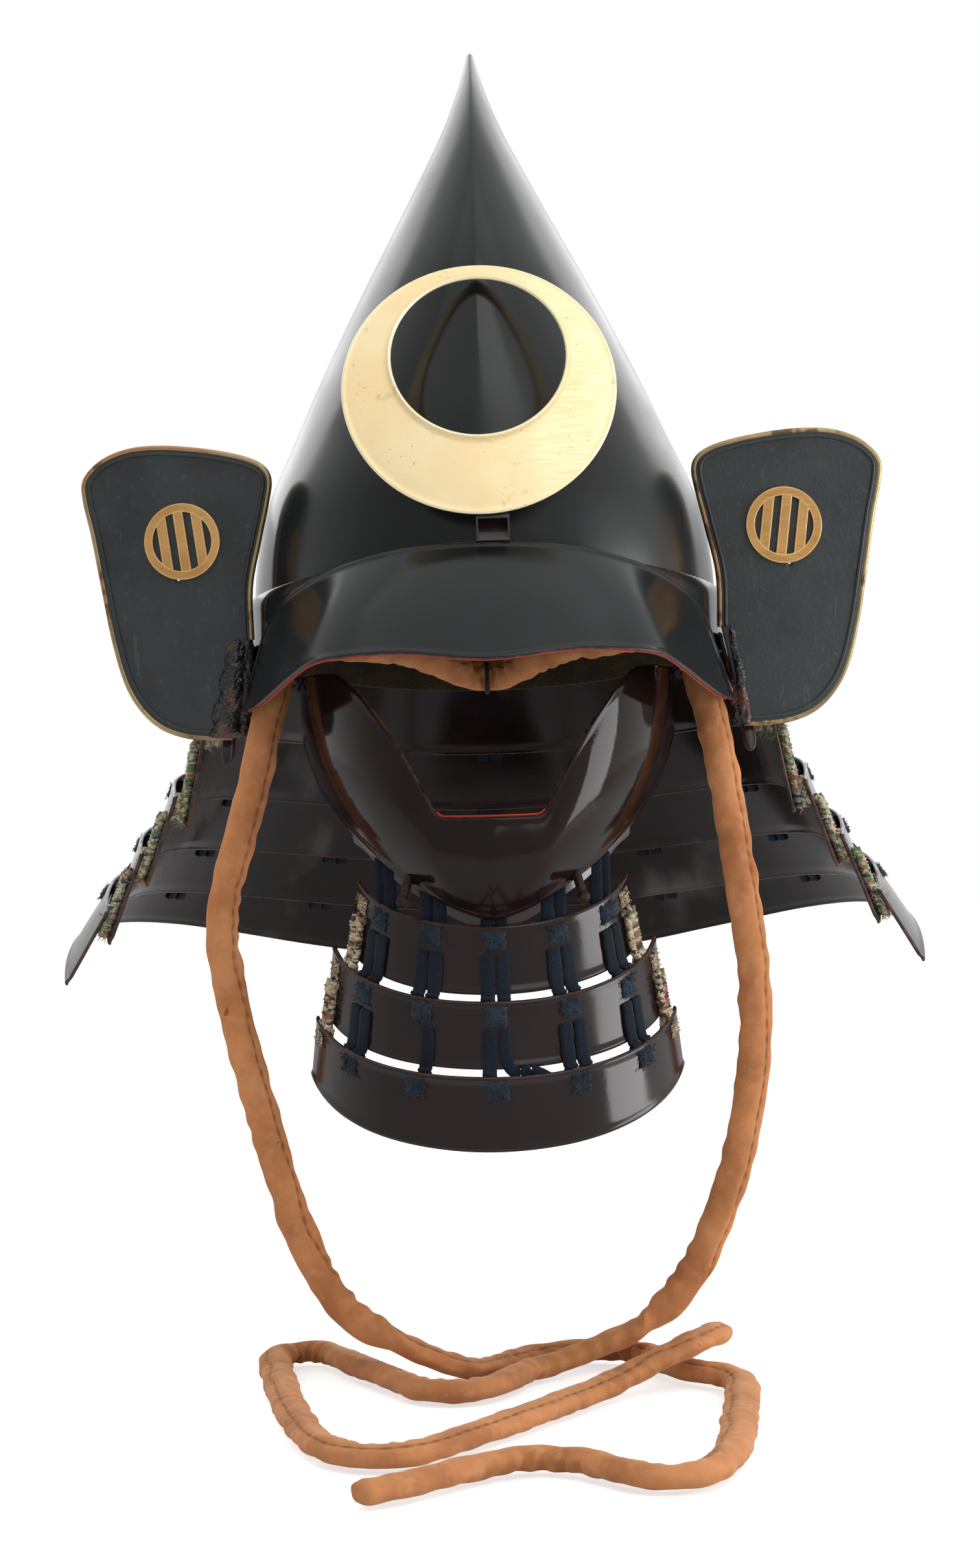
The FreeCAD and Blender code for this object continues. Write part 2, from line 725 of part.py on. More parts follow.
def liner_wire(share, inset):
    """A level section of the cloth lining at a share of its rise."""
    inner = BOWL_HALF_WIDTH - BOWL_WALL
    radius = inner * smooth(LINER_SHARES, share) - inset
    height = mix(-LINER_DROP, LINER_TOP, share)
    points = [around(HELMET, angle, radius, height) for angle in spread(BOWL_STEPS, 0.0, HALF_TURN)]
    points[0].x = points[-1].x = 0
    other = [FreeCAD.Vector(-p.x, p.y, p.z) for p in reversed(points)]
    return Part.Wire([curve(points), curve(other)])


def liner():
    shares = [math.sin(turn) for turn in spread(LINER_STEPS, 0.0, math.pi / 2)]
    outside = Part.makeLoft([liner_wire(share, 0) for share in shares], True)
    inside = Part.makeLoft([liner_wire(share, LINER_THICKNESS) for share in shares], True)
    inside.translate(FreeCAD.Vector(0, 0, -LINER_THICKNESS))
    return outside.cut(inside)


def liner_edge():
    """The lining's bound edge against the band, hanging lower at the back."""

    def low(angle):
        back = max(0.0, -math.cos(math.radians(angle))) ** LINER_EDGE_SAG_POWER
        return mix(-BAND_DROP + FIT_GAP, -LINER_EDGE_BACK_DROP, back)

    def place(angle, v, lift):
        return around(HELMET, angle, BOWL_HALF_WIDTH - LINER_EDGE_THICKNESS + lift, mix(-FIT_GAP, low(angle), v))

    slit = math.degrees(BAND_SLIT / BOWL_BACK)
    return shell(
        lambda angle, v: place(angle, v, LINER_EDGE_THICKNESS),
        lambda angle, v: place(angle, v, 0),
        spread(2 * TILT_STEPS + 1, slit - HALF_TURN, HALF_TURN - slit),
        1,
    )


# Neck guard


def lame_low(k, angle):
    """Height of a neck plate's lower edge; angle 180 is the back."""
    turn = HALF_TURN - abs(angle)
    side_turn = HALF_TURN - NECK_SIDE_ANGLE
    back, side, front = LAME_BACK_SHARES[k], LAME_SIDE_SHARES[k], LAME_FRONT_SHARES[k]
    if turn < side_turn:
        share = mix(back, side, (1 - math.cos(math.pi * turn / side_turn)) / 2)
    else:
        share = mix(side, front, ((turn - side_turn) / (HALF_TURN - side_turn - lame_front(k))) ** 2)
    return -NECK_DROP * share


def lame_front(k):
    """Angle at which a neck plate ends, at its front."""
    radius = NECK_RADIUS * LAME_LOW_SHARES[k] + HELMET_EXTRA
    return math.degrees(math.acos((HELMET_CENTRE_Y - NECK_FRONT_Y) / radius))


def lame_top(k, angle):
    """Height of a neck plate's upper edge."""
    if k == 0:
        return -NECK_TOP_GAP
    return lame_low(k - 1, max(abs(angle), lame_front(k - 1))) + LAME_OVERLAP


def lame_radii(k):
    """Inner radius of a neck plate at its upper and lower edge."""
    top = BAND_RADIUS + FIT_GAP if k == 0 else NECK_RADIUS * LAME_TOP_SHARES[k]
    return top, NECK_RADIUS * LAME_LOW_SHARES[k]


def lame_place(k, angle, v, lift):
    top_radius, low_radius = lame_radii(k)
    height = mix(lame_top(k, angle), lame_low(k, angle), v)
    return around(HELMET, angle, mix(top_radius, low_radius, v) + lift, height)


def neck_lame(k, front):
    angles = spread(2 * LAME_STEPS + 1, front, 2 * HALF_TURN - front)
    return shell(
        lambda angle, v: lame_place(k, fold_back(angle), v, LAME_THICKNESS),
        lambda angle, v: lame_place(k, fold_back(angle), v, 0),
        angles,
        2,
    )


def fold_back(angle):
    """An angle past the back, as the same place measured from the other side."""
    return angle if angle <= HALF_TURN else angle - 2 * HALF_TURN


def wing_spline(inset):
    """Points of a wing's free edge, on the +X side, drawn in by inset."""
    shares = WING_OUTLINE_SHARES
    points = [
        FreeCAD.Vector(WING_FOLD_X + out * WING_WIDTH, 0, WING_FOOT_Z + up * WING_HEIGHT) for out, up in shares
    ]
    drawn = []
    for i, point in enumerate(points):
        along = points[min(i + 1, len(points) - 1)] - points[max(i - 1, 0)]
        inwards = FreeCAD.Vector(along.z, 0, -along.x).normalize()
        if i in (0, len(points) - 1):
            inwards = FreeCAD.Vector(0, 0, 1 if i else 0)
        drawn.append(point + inwards * inset)
    return drawn


def wing_slab(low, high):
    """A bent slab in front of the wing's back face, between two lifts."""
    axis = FreeCAD.Vector(WING_FOLD_X, WING_FOLD_Y + WING_CURVE_RADIUS, WING_FOOT_Z - CUT_OVERRUN)
    tall = WING_HEIGHT + 2 * CUT_OVERRUN
    solid = Part.makeCylinder(WING_CURVE_RADIUS + high, tall, axis)
    return solid.cut(Part.makeCylinder(WING_CURVE_RADIUS + low, tall, axis))


def wing_piece(wire, low, high):
    """A flat outline bent to the wing's curve."""
    block = prism(wire, WING_FOLD_Y - WING_WIDTH, 2 * WING_WIDTH)
    return block.common(wing_slab(low, high))


def wing_plate():
    return wing_piece(loop(wing_spline(WING_RIM_WIDTH)), 0, LAME_THICKNESS)


def wing_facing():
    """The covering on the wing's front face."""
    lift = LAME_THICKNESS
    return wing_piece(loop(wing_spline(WING_RIM_WIDTH)), lift, lift + FACING_THICKNESS)


def wing_rim():
    """The metal edging round the wing's free edge."""
    inside = list(reversed(wing_spline(WING_RIM_WIDTH)))
    return wing_piece(loop(wing_spline(0), inside), -WING_RIM_BACK, WING_RIM_FRONT)


def badge():
    """A ring round three upright bars."""
    out = WING_FOLD_X + BADGE_OUT_SHARE * WING_WIDTH
    middle = FreeCAD.Vector(out, WING_FOLD_Y - WING_WIDTH, WING_FOOT_Z + BADGE_UP_SHARE * WING_HEIGHT)
    forward = FreeCAD.Vector(0, 1, 0)
    inner_radius = BADGE_RADIUS - BADGE_RING_WIDTH
    disc = Part.makeCylinder(inner_radius + BADGE_RING_WIDTH / 2, 2 * WING_WIDTH, middle, forward)
    ring = Part.makeCylinder(BADGE_RADIUS, 2 * WING_WIDTH, middle, forward)
    shape = ring.cut(Part.makeCylinder(inner_radius, 2 * WING_WIDTH, middle, forward))
    for step in (-1, 0, 1):
        corner = middle + FreeCAD.Vector(
            step * (BADGE_BAR_WIDTH + BADGE_BAR_GAP) - BADGE_BAR_WIDTH / 2, 0, -BADGE_RADIUS
        )
        bar = Part.makeBox(BADGE_BAR_WIDTH, 2 * WING_WIDTH, 2 * BADGE_RADIUS, corner)
        shape = shape.fuse(bar.common(disc))
    lift = LAME_THICKNESS + FACING_THICKNESS
    return shape.common(wing_slab(lift, lift + BADGE_THICKNESS))


def top_lame():
    """The fixed neck plate, its front ends joined to the two wings."""
    wing = wing_plate()
    plate = neck_lame(0, lame_front(0) - WING_JOIN_ANGLE)
    face_y = WING_FOLD_Y - LAME_THICKNESS
    trim = Part.makeBox(
        4 * BAND_RADIUS,
        BAND_RADIUS,
        4 * BAND_RADIUS,
        FreeCAD.Vector(-2 * BAND_RADIUS, face_y - BAND_RADIUS, -2 * BAND_RADIUS),
    )
    return plate.cut(trim).fuse([wing, mirrored(wing)])


def neck_rivets():
    """Round-headed rivets that hold the top plate to the band."""
    solids = []
    height = (lame_top(0, HALF_TURN) - BAND_DROP) / 2
    for angle in spread(NECK_RIVET_COUNT, HALF_TURN - NECK_RIVET_SPREAD / 2, HALF_TURN + NECK_RIVET_SPREAD / 2):
        top_radius, low_radius = lame_radii(0)
        share = (lame_top(0, angle) - height) / (lame_top(0, angle) - lame_low(0, fold_back(angle)))
        radius = mix(top_radius, low_radius, share) + LAME_THICKNESS
        start = around(HELMET, angle, radius, height)
        length = radius - BAND_RADIUS + BAND_STEP / 2
        solids.append(rivet(start, outward(HELMET, angle) * -1, length))
    return solids


# Lacing between plates


def pad(place, angles, v_values, low, high):
    """A small pad on a plate's outer face."""
    wires = []
    for angle in angles:
        corners = [place(angle, v, high) for v in v_values]
        corners += [place(angle, v, low) for v in reversed(v_values)]
        wires.append(Part.makePolygon(corners + corners[:1]))
    return Part.makeLoft(wires, True)


def lace(upper, lower, start_share, middle, half_angle, tuck_share, upper_wall):
    """A flat lace from the face of one plate to behind the top of the next."""
    seat, thick = LACE_SEAT, LACE_THICKNESS
    wires = []
    for angle in (middle - half_angle, middle, middle + half_angle):
        front = [
            upper(angle, start_share, upper_wall + seat + thick),
            upper(angle, 1.0, upper_wall + seat + thick),
            lower(angle, tuck_share, -seat),
        ]
        back = [
            lower(angle, tuck_share, -seat - thick),
            upper(angle, 1.0, upper_wall + seat),
            upper(angle, start_share, upper_wall + seat),
        ]
        wires.append(Part.makePolygon(front + back + front[:1]))
    return Part.makeLoft(wires, True)


def columns(count, spacing):
    """Places of lacing columns, evenly spaced about the middle."""
    return [(i - (count - 1) / 2) * spacing for i in range(count)]


def neck_laces(k):
    """Pairs of laces from neck plate k to the next one down."""
    solids = []
    radius = lame_radii(k + 1)[0]
    half = math.degrees(LACE_WIDTH / 2 / radius)
    apart = math.degrees(LACE_SPACING / 2 / radius)
    for column in columns(NECK_COLUMN_COUNT, NECK_COLUMN_ANGLE):
        tall = lame_top(k + 1, HALF_TURN + column) - lame_low(k + 1, fold_back(HALF_TURN + column))
        for side in (-1, 1):
            solids.append(
                lace(
                    lambda angle, v, lift: lame_place(k, fold_back(angle), v, lift),
                    lambda angle, v, lift: lame_place(k + 1, fold_back(angle), v, lift),
                    LACE_START_SHARE,
                    HALF_TURN + column + side * apart,
                    half,
                    (LAME_OVERLAP + LACE_TUCK) / tall,
                    LAME_THICKNESS,
                )
            )
    return solids


def tie_pads(place, places, radius, tall, thickness):
    """Crossed ties under a plate's upper edge."""
    half = math.degrees(TIE_PAD_WIDTH / 2 / radius)
    v_values = [TIE_PAD_DROP / tall, (TIE_PAD_DROP + TIE_PAD_HEIGHT) / tall]
    low = thickness + LACE_SEAT
    return [
        pad(place, [middle - half, middle, middle + half], v_values, low, low + LACE_THICKNESS)
        for middle in places
    ]


def ear_pads(place, ends, radius, tall, thickness):
    """Braided bindings near a plate's two ends."""
    half = math.degrees(EAR_PAD_WIDTH / 2 / radius)
    inset = math.degrees(EAR_PAD_INSET / radius)
    v_values = [EAR_PAD_INSET / tall, 0.5, 1 - EAR_PAD_INSET / tall]
    low = thickness + LACE_SEAT
    solids = []
    for end, inwards in ends:
        middle = end + inwards * inset
        solids.append(pad(place, [middle - half, middle + half], v_values, low, low + LACE_THICKNESS))
    return solids


def neck_ties(k):
    radius = lame_radii(k)[0]
    tall = lame_top(k, HALF_TURN) - lame_low(k, HALF_TURN)
    front = lame_front(k)

    def place(angle, v, lift):
        return lame_place(k, fold_back(angle), v, lift)

    middles = [HALF_TURN + column for column in columns(NECK_COLUMN_COUNT, NECK_COLUMN_ANGLE)]
    ends = [(front, 1), (2 * HALF_TURN - front, -1)]
    solids = tie_pads(place, middles, radius, tall, LAME_THICKNESS)
    return solids + ear_pads(place, ends, radius, tall, LAME_THICKNESS)


# Half mask


def mask_edge(table, angle):
    return -MASK_DROP * smooth(table, abs(angle))


def chin_share(angle):
    """How fully the chin's swelling and tuck show at an angle."""
    return math.cos(math.radians(angle * MASK_CHIN_SHARE)) ** 2


def mask_place(angle, v, lift):
    """A place on the mask, v from its upper edge to its lower edge."""
    swell = MASK_BULGE * math.sin(math.pi * v) - MASK_TUCK * v**3
    radius = MASK_RADIUS + chin_share(angle) * swell + lift
    height = mix(mask_edge(MASK_TOP_SHARES, angle), mask_edge(MASK_LOW_SHARES, angle), v)
    return around(MASK, angle, radius, height)


def chin_guard():
    return shell(
        lambda angle, v: mask_place(angle, v, 0),
        lambda angle, v: mask_place(angle, v, -MASK_THICKNESS),
        spread(MASK_STEPS + 1, -MASK_END_ANGLE, MASK_END_ANGLE),
        MASK_RUNGS,
    )


def chin_flange():
    """A strip inside the mask's lower edge, which the throat guard hangs from."""

    def place(angle, v, lift):
        low = mask_edge(MASK_LOW_SHARES, angle)
        inner = MASK_RADIUS - MASK_THICKNESS - FIT_GAP - FLANGE_THICKNESS
        radius = inner - chin_share(angle) * MASK_TUCK + lift
        return around(MASK, angle, radius, mix(low + FLANGE_ABOVE, low - FLANGE_BELOW, v))

    return shell(
        lambda angle, v: place(angle, v, FLANGE_THICKNESS),
        lambda angle, v: place(angle, v, 0),
        spread(TILT_STEPS, -FLANGE_END_ANGLE, FLANGE_END_ANGLE),
        1,
    )


def chin_pegs():
    """Two pegs under the jaw that the chin cord is hooked round."""
    low = mask_edge(MASK_LOW_SHARES, PEG_ANGLE)
    tall = mask_edge(MASK_TOP_SHARES, PEG_ANGLE) - low
    root = mask_place(PEG_ANGLE, 1 - PEG_UP / tall, -MASK_THICKNESS)
    tilt = math.radians(PEG_TILT)
    direction = outward(MASK, PEG_ANGLE) * math.cos(tilt) - FreeCAD.Vector(0, 0, math.sin(tilt))
    peg = Part.makeCylinder(PEG_RADIUS, PEG_LENGTH + MASK_THICKNESS, root, direction)
    tip = root + direction * (PEG_LENGTH + MASK_THICKNESS)
    knob = Part.makeSphere(PEG_RADIUS * PEG_KNOB_SHARE, tip)
    peg = peg.fuse(knob).removeSplitter()
    return [peg, mirrored(peg)]


def mask_tie():
    """The cord that ties the mask's arm to the bowl's bound edge, with its knot, on the +X side."""
    start = FreeCAD.Vector(MASK_RADIUS + TIE_KNOT_RADIUS + FIT_GAP, MASK_CENTRE_Y, -TIE_DROP)
    inner = start - FreeCAD.Vector(TIE_KNOT_RADIUS, 0, 0)
    knot = Part.makeCylinder(TIE_KNOT_RADIUS, 2 * TIE_KNOT_RADIUS, inner, FreeCAD.Vector(1, 0, 0))
    turn = math.degrees(math.acos((HELMET_CENTRE_Y - MASK_CENTRE_Y) / (BOWL_HALF_WIDTH + HELMET_EXTRA)))
    edge = BOWL_HALF_WIDTH - LINER_EDGE_THICKNESS - FIT_GAP
    end = around(HELMET, turn, edge, -BAND_DROP / 2)
    along = end - start
    cord = Part.makeCylinder(TIE_RADIUS, along.Length, start, along)
    return knot.fuse(cord).removeSplitter()


# Throat guard


def throat_height(middle_share, end_share, k, angle):
    share = mix(middle_share, end_share, (angle / THROAT_END_ANGLES[k]) ** 2)
    return -THROAT_DROP * share


def throat_place(k, angle, v, lift):
    """A place on a throat plate's outer face, v from its upper edge to its lower edge."""
    top = throat_height(THROAT_TOP_MID_SHARES[k], THROAT_TOP_END_SHARES[k], k, angle)
    low = throat_height(THROAT_LOW_MID_SHARES[k], THROAT_LOW_END_SHARES[k], k, angle)
    radius = THROAT_RADIUS * mix(THROAT_TOP_SHARES[k], THROAT_LOW_SHARES[k], v)
    return around(THROAT, angle, radius + lift, mix(top, low, v))


def throat_lame(k):
    end = THROAT_END_ANGLES[k]
    return shell(
        lambda angle, v: throat_place(k, angle, v, 0),
        lambda angle, v: throat_place(k, angle, v, -THROAT_THICKNESS),
        spread(2 * THROAT_STEPS + 1, -end, end),
        2,
    )


def throat_columns(k):
    """Angles of a throat plate's lacing columns."""
    step = math.degrees(THROAT_COLUMN_SPACING / (THROAT_RADIUS * THROAT_TOP_SHARES[0]))
    return columns(THROAT_COLUMN_COUNT, step)


def flange_place(across, lift):
    """The angle on the mask of a place this far from the middle, and its radius off the lower strip."""
    turn = 0.0
    for _ in range(TILT_STEPS):
        radius = MASK_RADIUS - chin_share(turn) * MASK_TUCK - MASK_THICKNESS - FIT_GAP + lift
        turn = math.degrees(math.asin(across / radius))
    return turn, radius


def mask_lace(middle, half):
    """A flat lace from the mask's lower strip to behind the first throat plate."""
    wires = []
    for angle in (middle - half, middle, middle + half):
        edge = throat_place(0, angle, 0, -THROAT_THICKNESS - LACE_SEAT)
        turn, radius = flange_place(edge.x, LACE_SEAT + LACE_THICKNESS)
        low = mask_edge(MASK_LOW_SHARES, turn)
        top = around(MASK, turn, radius, low - 2 * FIT_GAP)
        knee = around(MASK, turn, radius, max(low - FLANGE_BELOW, edge.z + FIT_GAP))
        foot = FreeCAD.Vector(edge.x, edge.y, edge.z - LACE_TUCK)
        front = [top, knee, edge, foot]
        back = [point + FreeCAD.Vector(0, LACE_THICKNESS, 0) for point in reversed(front)]
        wires.append(Part.makePolygon(front + back + front[:1]))
    return Part.makeLoft(wires, True)


def mask_laces():
    """Pairs of laces that hold the first throat plate up."""
    solids = []
    radius = THROAT_RADIUS * THROAT_TOP_SHARES[0]
    half = math.degrees(LACE_WIDTH / 2 / radius)
    apart = math.degrees(LACE_SPACING / 2 / radius)
    for column in throat_columns(0):
        for side in (-1, 1):
            solids.append(mask_lace(column + side * apart, half))
    return solids


def throat_laces(k):
    """Pairs of laces from throat plate k to the next one down."""
    solids = []
    radius = THROAT_RADIUS * THROAT_TOP_SHARES[k + 1]
    half = math.degrees(LACE_WIDTH / 2 / radius)
    apart = math.degrees(LACE_SPACING / 2 / radius)
    tall = throat_place(k + 1, 0, 0, 0).z - throat_place(k + 1, 0, 1, 0).z
    for column in throat_columns(k):
        for side in (-1, 1):
            solids.append(
                lace(
                    lambda angle, v, lift: throat_place(k, angle, v, lift),
                    lambda angle, v, lift: throat_place(k + 1, angle, v, lift - THROAT_THICKNESS),
                    LACE_START_SHARE,
                    column + side * apart,
                    half,
                    LACE_TUCK / tall,
                    0,
                )
            )
    return solids


def throat_ties(k):
    radius = THROAT_RADIUS * THROAT_TOP_SHARES[k]
    tall = throat_place(k, 0, 0, 0).z - throat_place(k, 0, 1, 0).z
    end = THROAT_END_ANGLES[k]

    def place(angle, v, lift):
        return throat_place(k, angle, v, lift)

    solids = tie_pads(place, throat_columns(k), radius, tall, 0)
    return solids + ear_pads(place, [(-end, 1), (end, -1)], radius, tall, 0)


# Chin cord


def tube(points, diameter):
    """A round tube along straight runs joined by the largest arcs that fit them."""
    places = [FreeCAD.Vector(*point) for point in points]
    edges, at, radii = [], places[0], []
    for before, corner, after in zip(places, places[1:], places[2:]):
        arrive, leave = (corner - before), (after - corner)
        turn = arrive.getAngle(leave)
        reach = BEND_SHARE * min(arrive.Length, leave.Length)
        start = corner - arrive.normalize() * reach
        end = corner + leave.normalize() * reach
        radius = reach / math.tan(turn / 2)
        radii.append(radius)
        bow = (start + end) * 0.5 - corner
        middle = corner + bow.normalize() * (radius / math.cos(turn / 2) - radius)
        edges.append(Part.LineSegment(at, start).toShape())
        edges.append(Part.Arc(start, middle, end).toShape())
        at = end
    edges.append(Part.LineSegment(at, places[-1]).toShape())
    path = Part.Wire(edges)
    first = places[1] - places[0]
    ring = Part.Wire([Part.Circle(places[0], first, diameter / 2).toShape()])
    solid = path.makePipeShell([ring], True, False)
    share = solid.Volume / (math.pi * diameter**2 / 4 * path.Length)
    print("cord length", round(path.Length), "volume share", round(share, 4), "arc radii", [round(r) for r in radii])
    return solid


def held_cord():
    """The stretch inside the rim, from one side loop round the back loop to the other."""
    left = [(-x, y, z) for x, y, z in CORD_HELD_HALF]
    return tube(left + list(reversed(CORD_HELD_HALF)), CORD_DIAMETER)


def cord_loop(centre, axis, stem_end):
    """A loop that the cord runs through, on a stem sewn to the bound edge."""
    wire = CORD_LOOP_WIRE / 2
    radius = CORD_DIAMETER / 2 + FIT_GAP + wire
    ring = Part.makeTorus(radius, wire, centre, axis)
    out = (stem_end - centre) - axis * (stem_end - centre).dot(axis)
    root = centre + out.normalize() * radius
    stem = Part.makeCylinder(wire, (stem_end - root).Length, root, stem_end - root)
    return ring.fuse(stem).removeSplitter()


def side_loop():
    """The loop on the +X side, square to the cord that leaves through it."""
    centre = FreeCAD.Vector(*CORD_RIGHT_ROUTE[0])
    along = (FreeCAD.Vector(*CORD_RIGHT_ROUTE[1]) - centre).normalize()
    turn = math.degrees(math.atan2(centre.x, HELMET_CENTRE_Y - centre.y))
    edge = BOWL_HALF_WIDTH - LINER_EDGE_THICKNESS
    return cord_loop(centre, along, around(HELMET, turn, edge, -BAND_DROP / 2))


def back_loop():
    x, y, z = CORD_HELD_HALF[-1]
    centre = FreeCAD.Vector(0, y, z)
    edge = BOWL_HALF_WIDTH - LINER_EDGE_THICKNESS
    return cord_loop(centre, FreeCAD.Vector(1, 0, 0), around(HELMET, HALF_TURN, edge, -BAND_DROP / 2))


def main():
    os.makedirs("parts", exist_ok=True)
    save("bowl", bowl())
    save("rim_band", rim_band())
    save("visor", visor())
    save("visor_rivets", *visor_rivets())
    save("band_rivets", *band_rivets())
    save("crest_socket", crest_socket())
    save("crest_ring", crest_ring())
    save("crest_lip", crest_lip())
    save("crest_tang", crest_tang())
    save("crest_rivets", *crest_rivets())
    save("liner", liner())
    save("liner_edge", liner_edge())
    save("neck_lame_1", top_lame())
    save("neck_guard_rivets", *neck_rivets())
    for name, piece in (("turnback_facing", wing_facing()), ("turnback_rim", wing_rim()), ("badge", badge())):
        save(name + "_right", piece)
        save(name + "_left", mirrored(piece))
    for k in range(1, LAME_COUNT):
        save("neck_lame_%d" % (k + 1), neck_lame(k, lame_front(k)))
        save("neck_laces_%d" % k, *neck_laces(k - 1))
        save("neck_ties_%d" % (k + 1), *neck_ties(k))
    save("chin_guard", chin_guard())
    save("chin_flange", chin_flange())
    save("chin_pegs", *chin_pegs())
    save("mask_tie_right", mask_tie())
    save("mask_tie_left", mirrored(mask_tie()))
    save("mask_laces", *mask_laces())
    for k in range(len(THROAT_TOP_SHARES)):
        save("throat_lame_%d" % (k + 1), throat_lame(k))
        save("throat_ties_%d" % (k + 1), *throat_ties(k))
    for k in range(len(THROAT_TOP_SHARES) - 1):
        save("throat_laces_%d" % (k + 1), *throat_laces(k))
    save("cord_loop_right", side_loop())
    save("cord_loop_left", mirrored(side_loop()))
    save("cord_loop_back", back_loop())
    save("held_cord", held_cord())
    save("chin_cord_left", tube(CORD_LEFT_ROUTE, CORD_DIAMETER))
    save("chin_cord_right", tube(CORD_RIGHT_ROUTE, CORD_DIAMETER))


main()
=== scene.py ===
import math
import random

import bpy
import numpy as np
from mathutils import Matrix, Vector, noise


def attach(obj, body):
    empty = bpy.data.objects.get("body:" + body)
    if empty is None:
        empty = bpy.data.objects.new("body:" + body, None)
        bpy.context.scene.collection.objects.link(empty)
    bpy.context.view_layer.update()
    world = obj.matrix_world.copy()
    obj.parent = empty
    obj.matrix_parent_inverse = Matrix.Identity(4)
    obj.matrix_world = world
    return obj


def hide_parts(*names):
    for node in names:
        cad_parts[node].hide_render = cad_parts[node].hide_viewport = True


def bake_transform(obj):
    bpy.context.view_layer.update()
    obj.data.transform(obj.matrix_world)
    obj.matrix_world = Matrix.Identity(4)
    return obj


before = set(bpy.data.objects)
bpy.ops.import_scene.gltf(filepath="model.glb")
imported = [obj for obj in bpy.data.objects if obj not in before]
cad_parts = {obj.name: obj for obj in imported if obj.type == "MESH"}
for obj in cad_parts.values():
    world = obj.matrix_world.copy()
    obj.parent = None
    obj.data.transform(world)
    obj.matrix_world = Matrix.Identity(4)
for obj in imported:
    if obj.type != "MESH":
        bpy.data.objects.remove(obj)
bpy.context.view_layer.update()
random.seed(11)

MM = 0.001
CIRCLE = 2 * math.pi

# Sizes shared with the part's source, in millimetres and degrees; shares are parts of a size
FIT_GAP = 0.4
HALF_TURN = 180.0
BOWL_HALF_WIDTH = 114.0
BOWL_FRONT = 122.0
BOWL_BACK = 125.0
BOWL_HEIGHT = 292.0
BOWL_WALL = 2.0
# Height, half width, front, back, power of the section
BOWL_SECTION_SHARES = [
    (0.0, 1.0, 1.0, 1.0, 1.0), (0.07, 1.0, 1.0, 1.0, 1.0), (0.2, 0.955, 0.98, 0.98, 1.0),
    (0.34, 0.807, 0.91, 0.93, 1.04), (0.425, 0.709, 0.85, 0.87, 1.12), (0.514, 0.596, 0.78, 0.79, 1.26),
    (0.603, 0.478, 0.70, 0.69, 1.42), (0.692, 0.355, 0.585, 0.57, 1.6), (0.781, 0.235, 0.45, 0.44, 1.74),
    (0.866, 0.127, 0.30, 0.31, 1.85), (0.94, 0.055, 0.14, 0.19, 1.88), (0.98, 0.026, 0.045, 0.115, 1.9),
    (1.0, 0.012, -0.005, 0.075, 1.9),
]
BAND_STEP = 3.5
BAND_GAP = 0.7
BAND_DROP = 10.0
BAND_HEIGHT = 21.6
BAND_FRONT_RISE = 12.0
BAND_SHOULDER = 7.0
VISOR_THICKNESS = 1.8
VISOR_REACH = 39.0
VISOR_RISE = 39.0
VISOR_DROP = 35.0
VISOR_END_ANGLE = 67.0
VISOR_BULGE = 2.6
# Angle, height, reach
VISOR_TOP_SHARES = [
    (0.0, 1.0, 0.0), (0.224, 0.98, 0.0), (0.467, 0.905, 0.0), (0.7, 0.77, 0.0),
    (0.85, 0.635, 0.0), (0.925, 0.5, 0.012), (0.97, 0.28, 0.08), (1.0, 0.06, 0.2),
]
VISOR_LOW_SHARES = [
    (0.0, 0.243, 1.0), (0.239, 0.297, 0.974), (0.428, 0.277, 0.923), (0.578, 0.176, 0.667),
    (0.7, 0.088, 0.487), (0.836, 0.027, 0.333), (0.925, 0.007, 0.274), (1.0, 0.0, 0.244),
]
CREST_LEAN = 19.0
SOCKET_DEPTH = 9.0
SOCKET_TOP_Z = 62.0
CREST_RADIUS = 63.0
CREST_HOLE_RADIUS = 41.0
CREST_HOLE_RISE = 15.5
CREST_THICKNESS = 1.3
CREST_DISH_RADIUS = 620.0
CREST_CENTRE_Z = 111.0
LINER_THICKNESS = 1.6
LINER_TOP = 112.0
LINER_DROP = 1.0
LINER_EDGE_THICKNESS = 1.8
LINER_EDGE_BACK_DROP = 22.0
LINER_EDGE_SAG_POWER = 1.5
# Height, radius
LINER_SHARES = [
    (0.0, 0.9965), (0.06, 0.99), (0.12, 0.972), (0.36, 0.94),
    (0.62, 0.84), (0.84, 0.64), (0.96, 0.4), (1.0, 0.18),
]
LAME_THICKNESS = 2.0
LAME_OVERLAP = 15.0
NECK_RADIUS = 210.0
NECK_DROP = 171.0
NECK_FRONT_Y = -35.0
NECK_TOP_GAP = 1.6
NECK_SIDE_ANGLE = 110.0
LAME_TOP_SHARES = [0.0, 0.662, 0.738, 0.819, 0.9]
LAME_LOW_SHARES = [0.619, 0.714, 0.81, 0.9, 1.0]
LAME_BACK_SHARES = [0.327, 0.503, 0.673, 0.836, 1.0]
LAME_SIDE_SHARES = [0.269, 0.444, 0.596, 0.725, 0.813]
LAME_FRONT_SHARES = [0.292, 0.526, 0.684, 0.848, 0.959]
WING_FOLD_X = 113.5
WING_FOLD_Y = -43.0
WING_FOOT_Z = -47.5
WING_WIDTH = 81.5
WING_HEIGHT = 144.0
WING_CURVE_RADIUS = 330.0
WING_RIM_WIDTH = 3.0
FACING_THICKNESS = 1.2
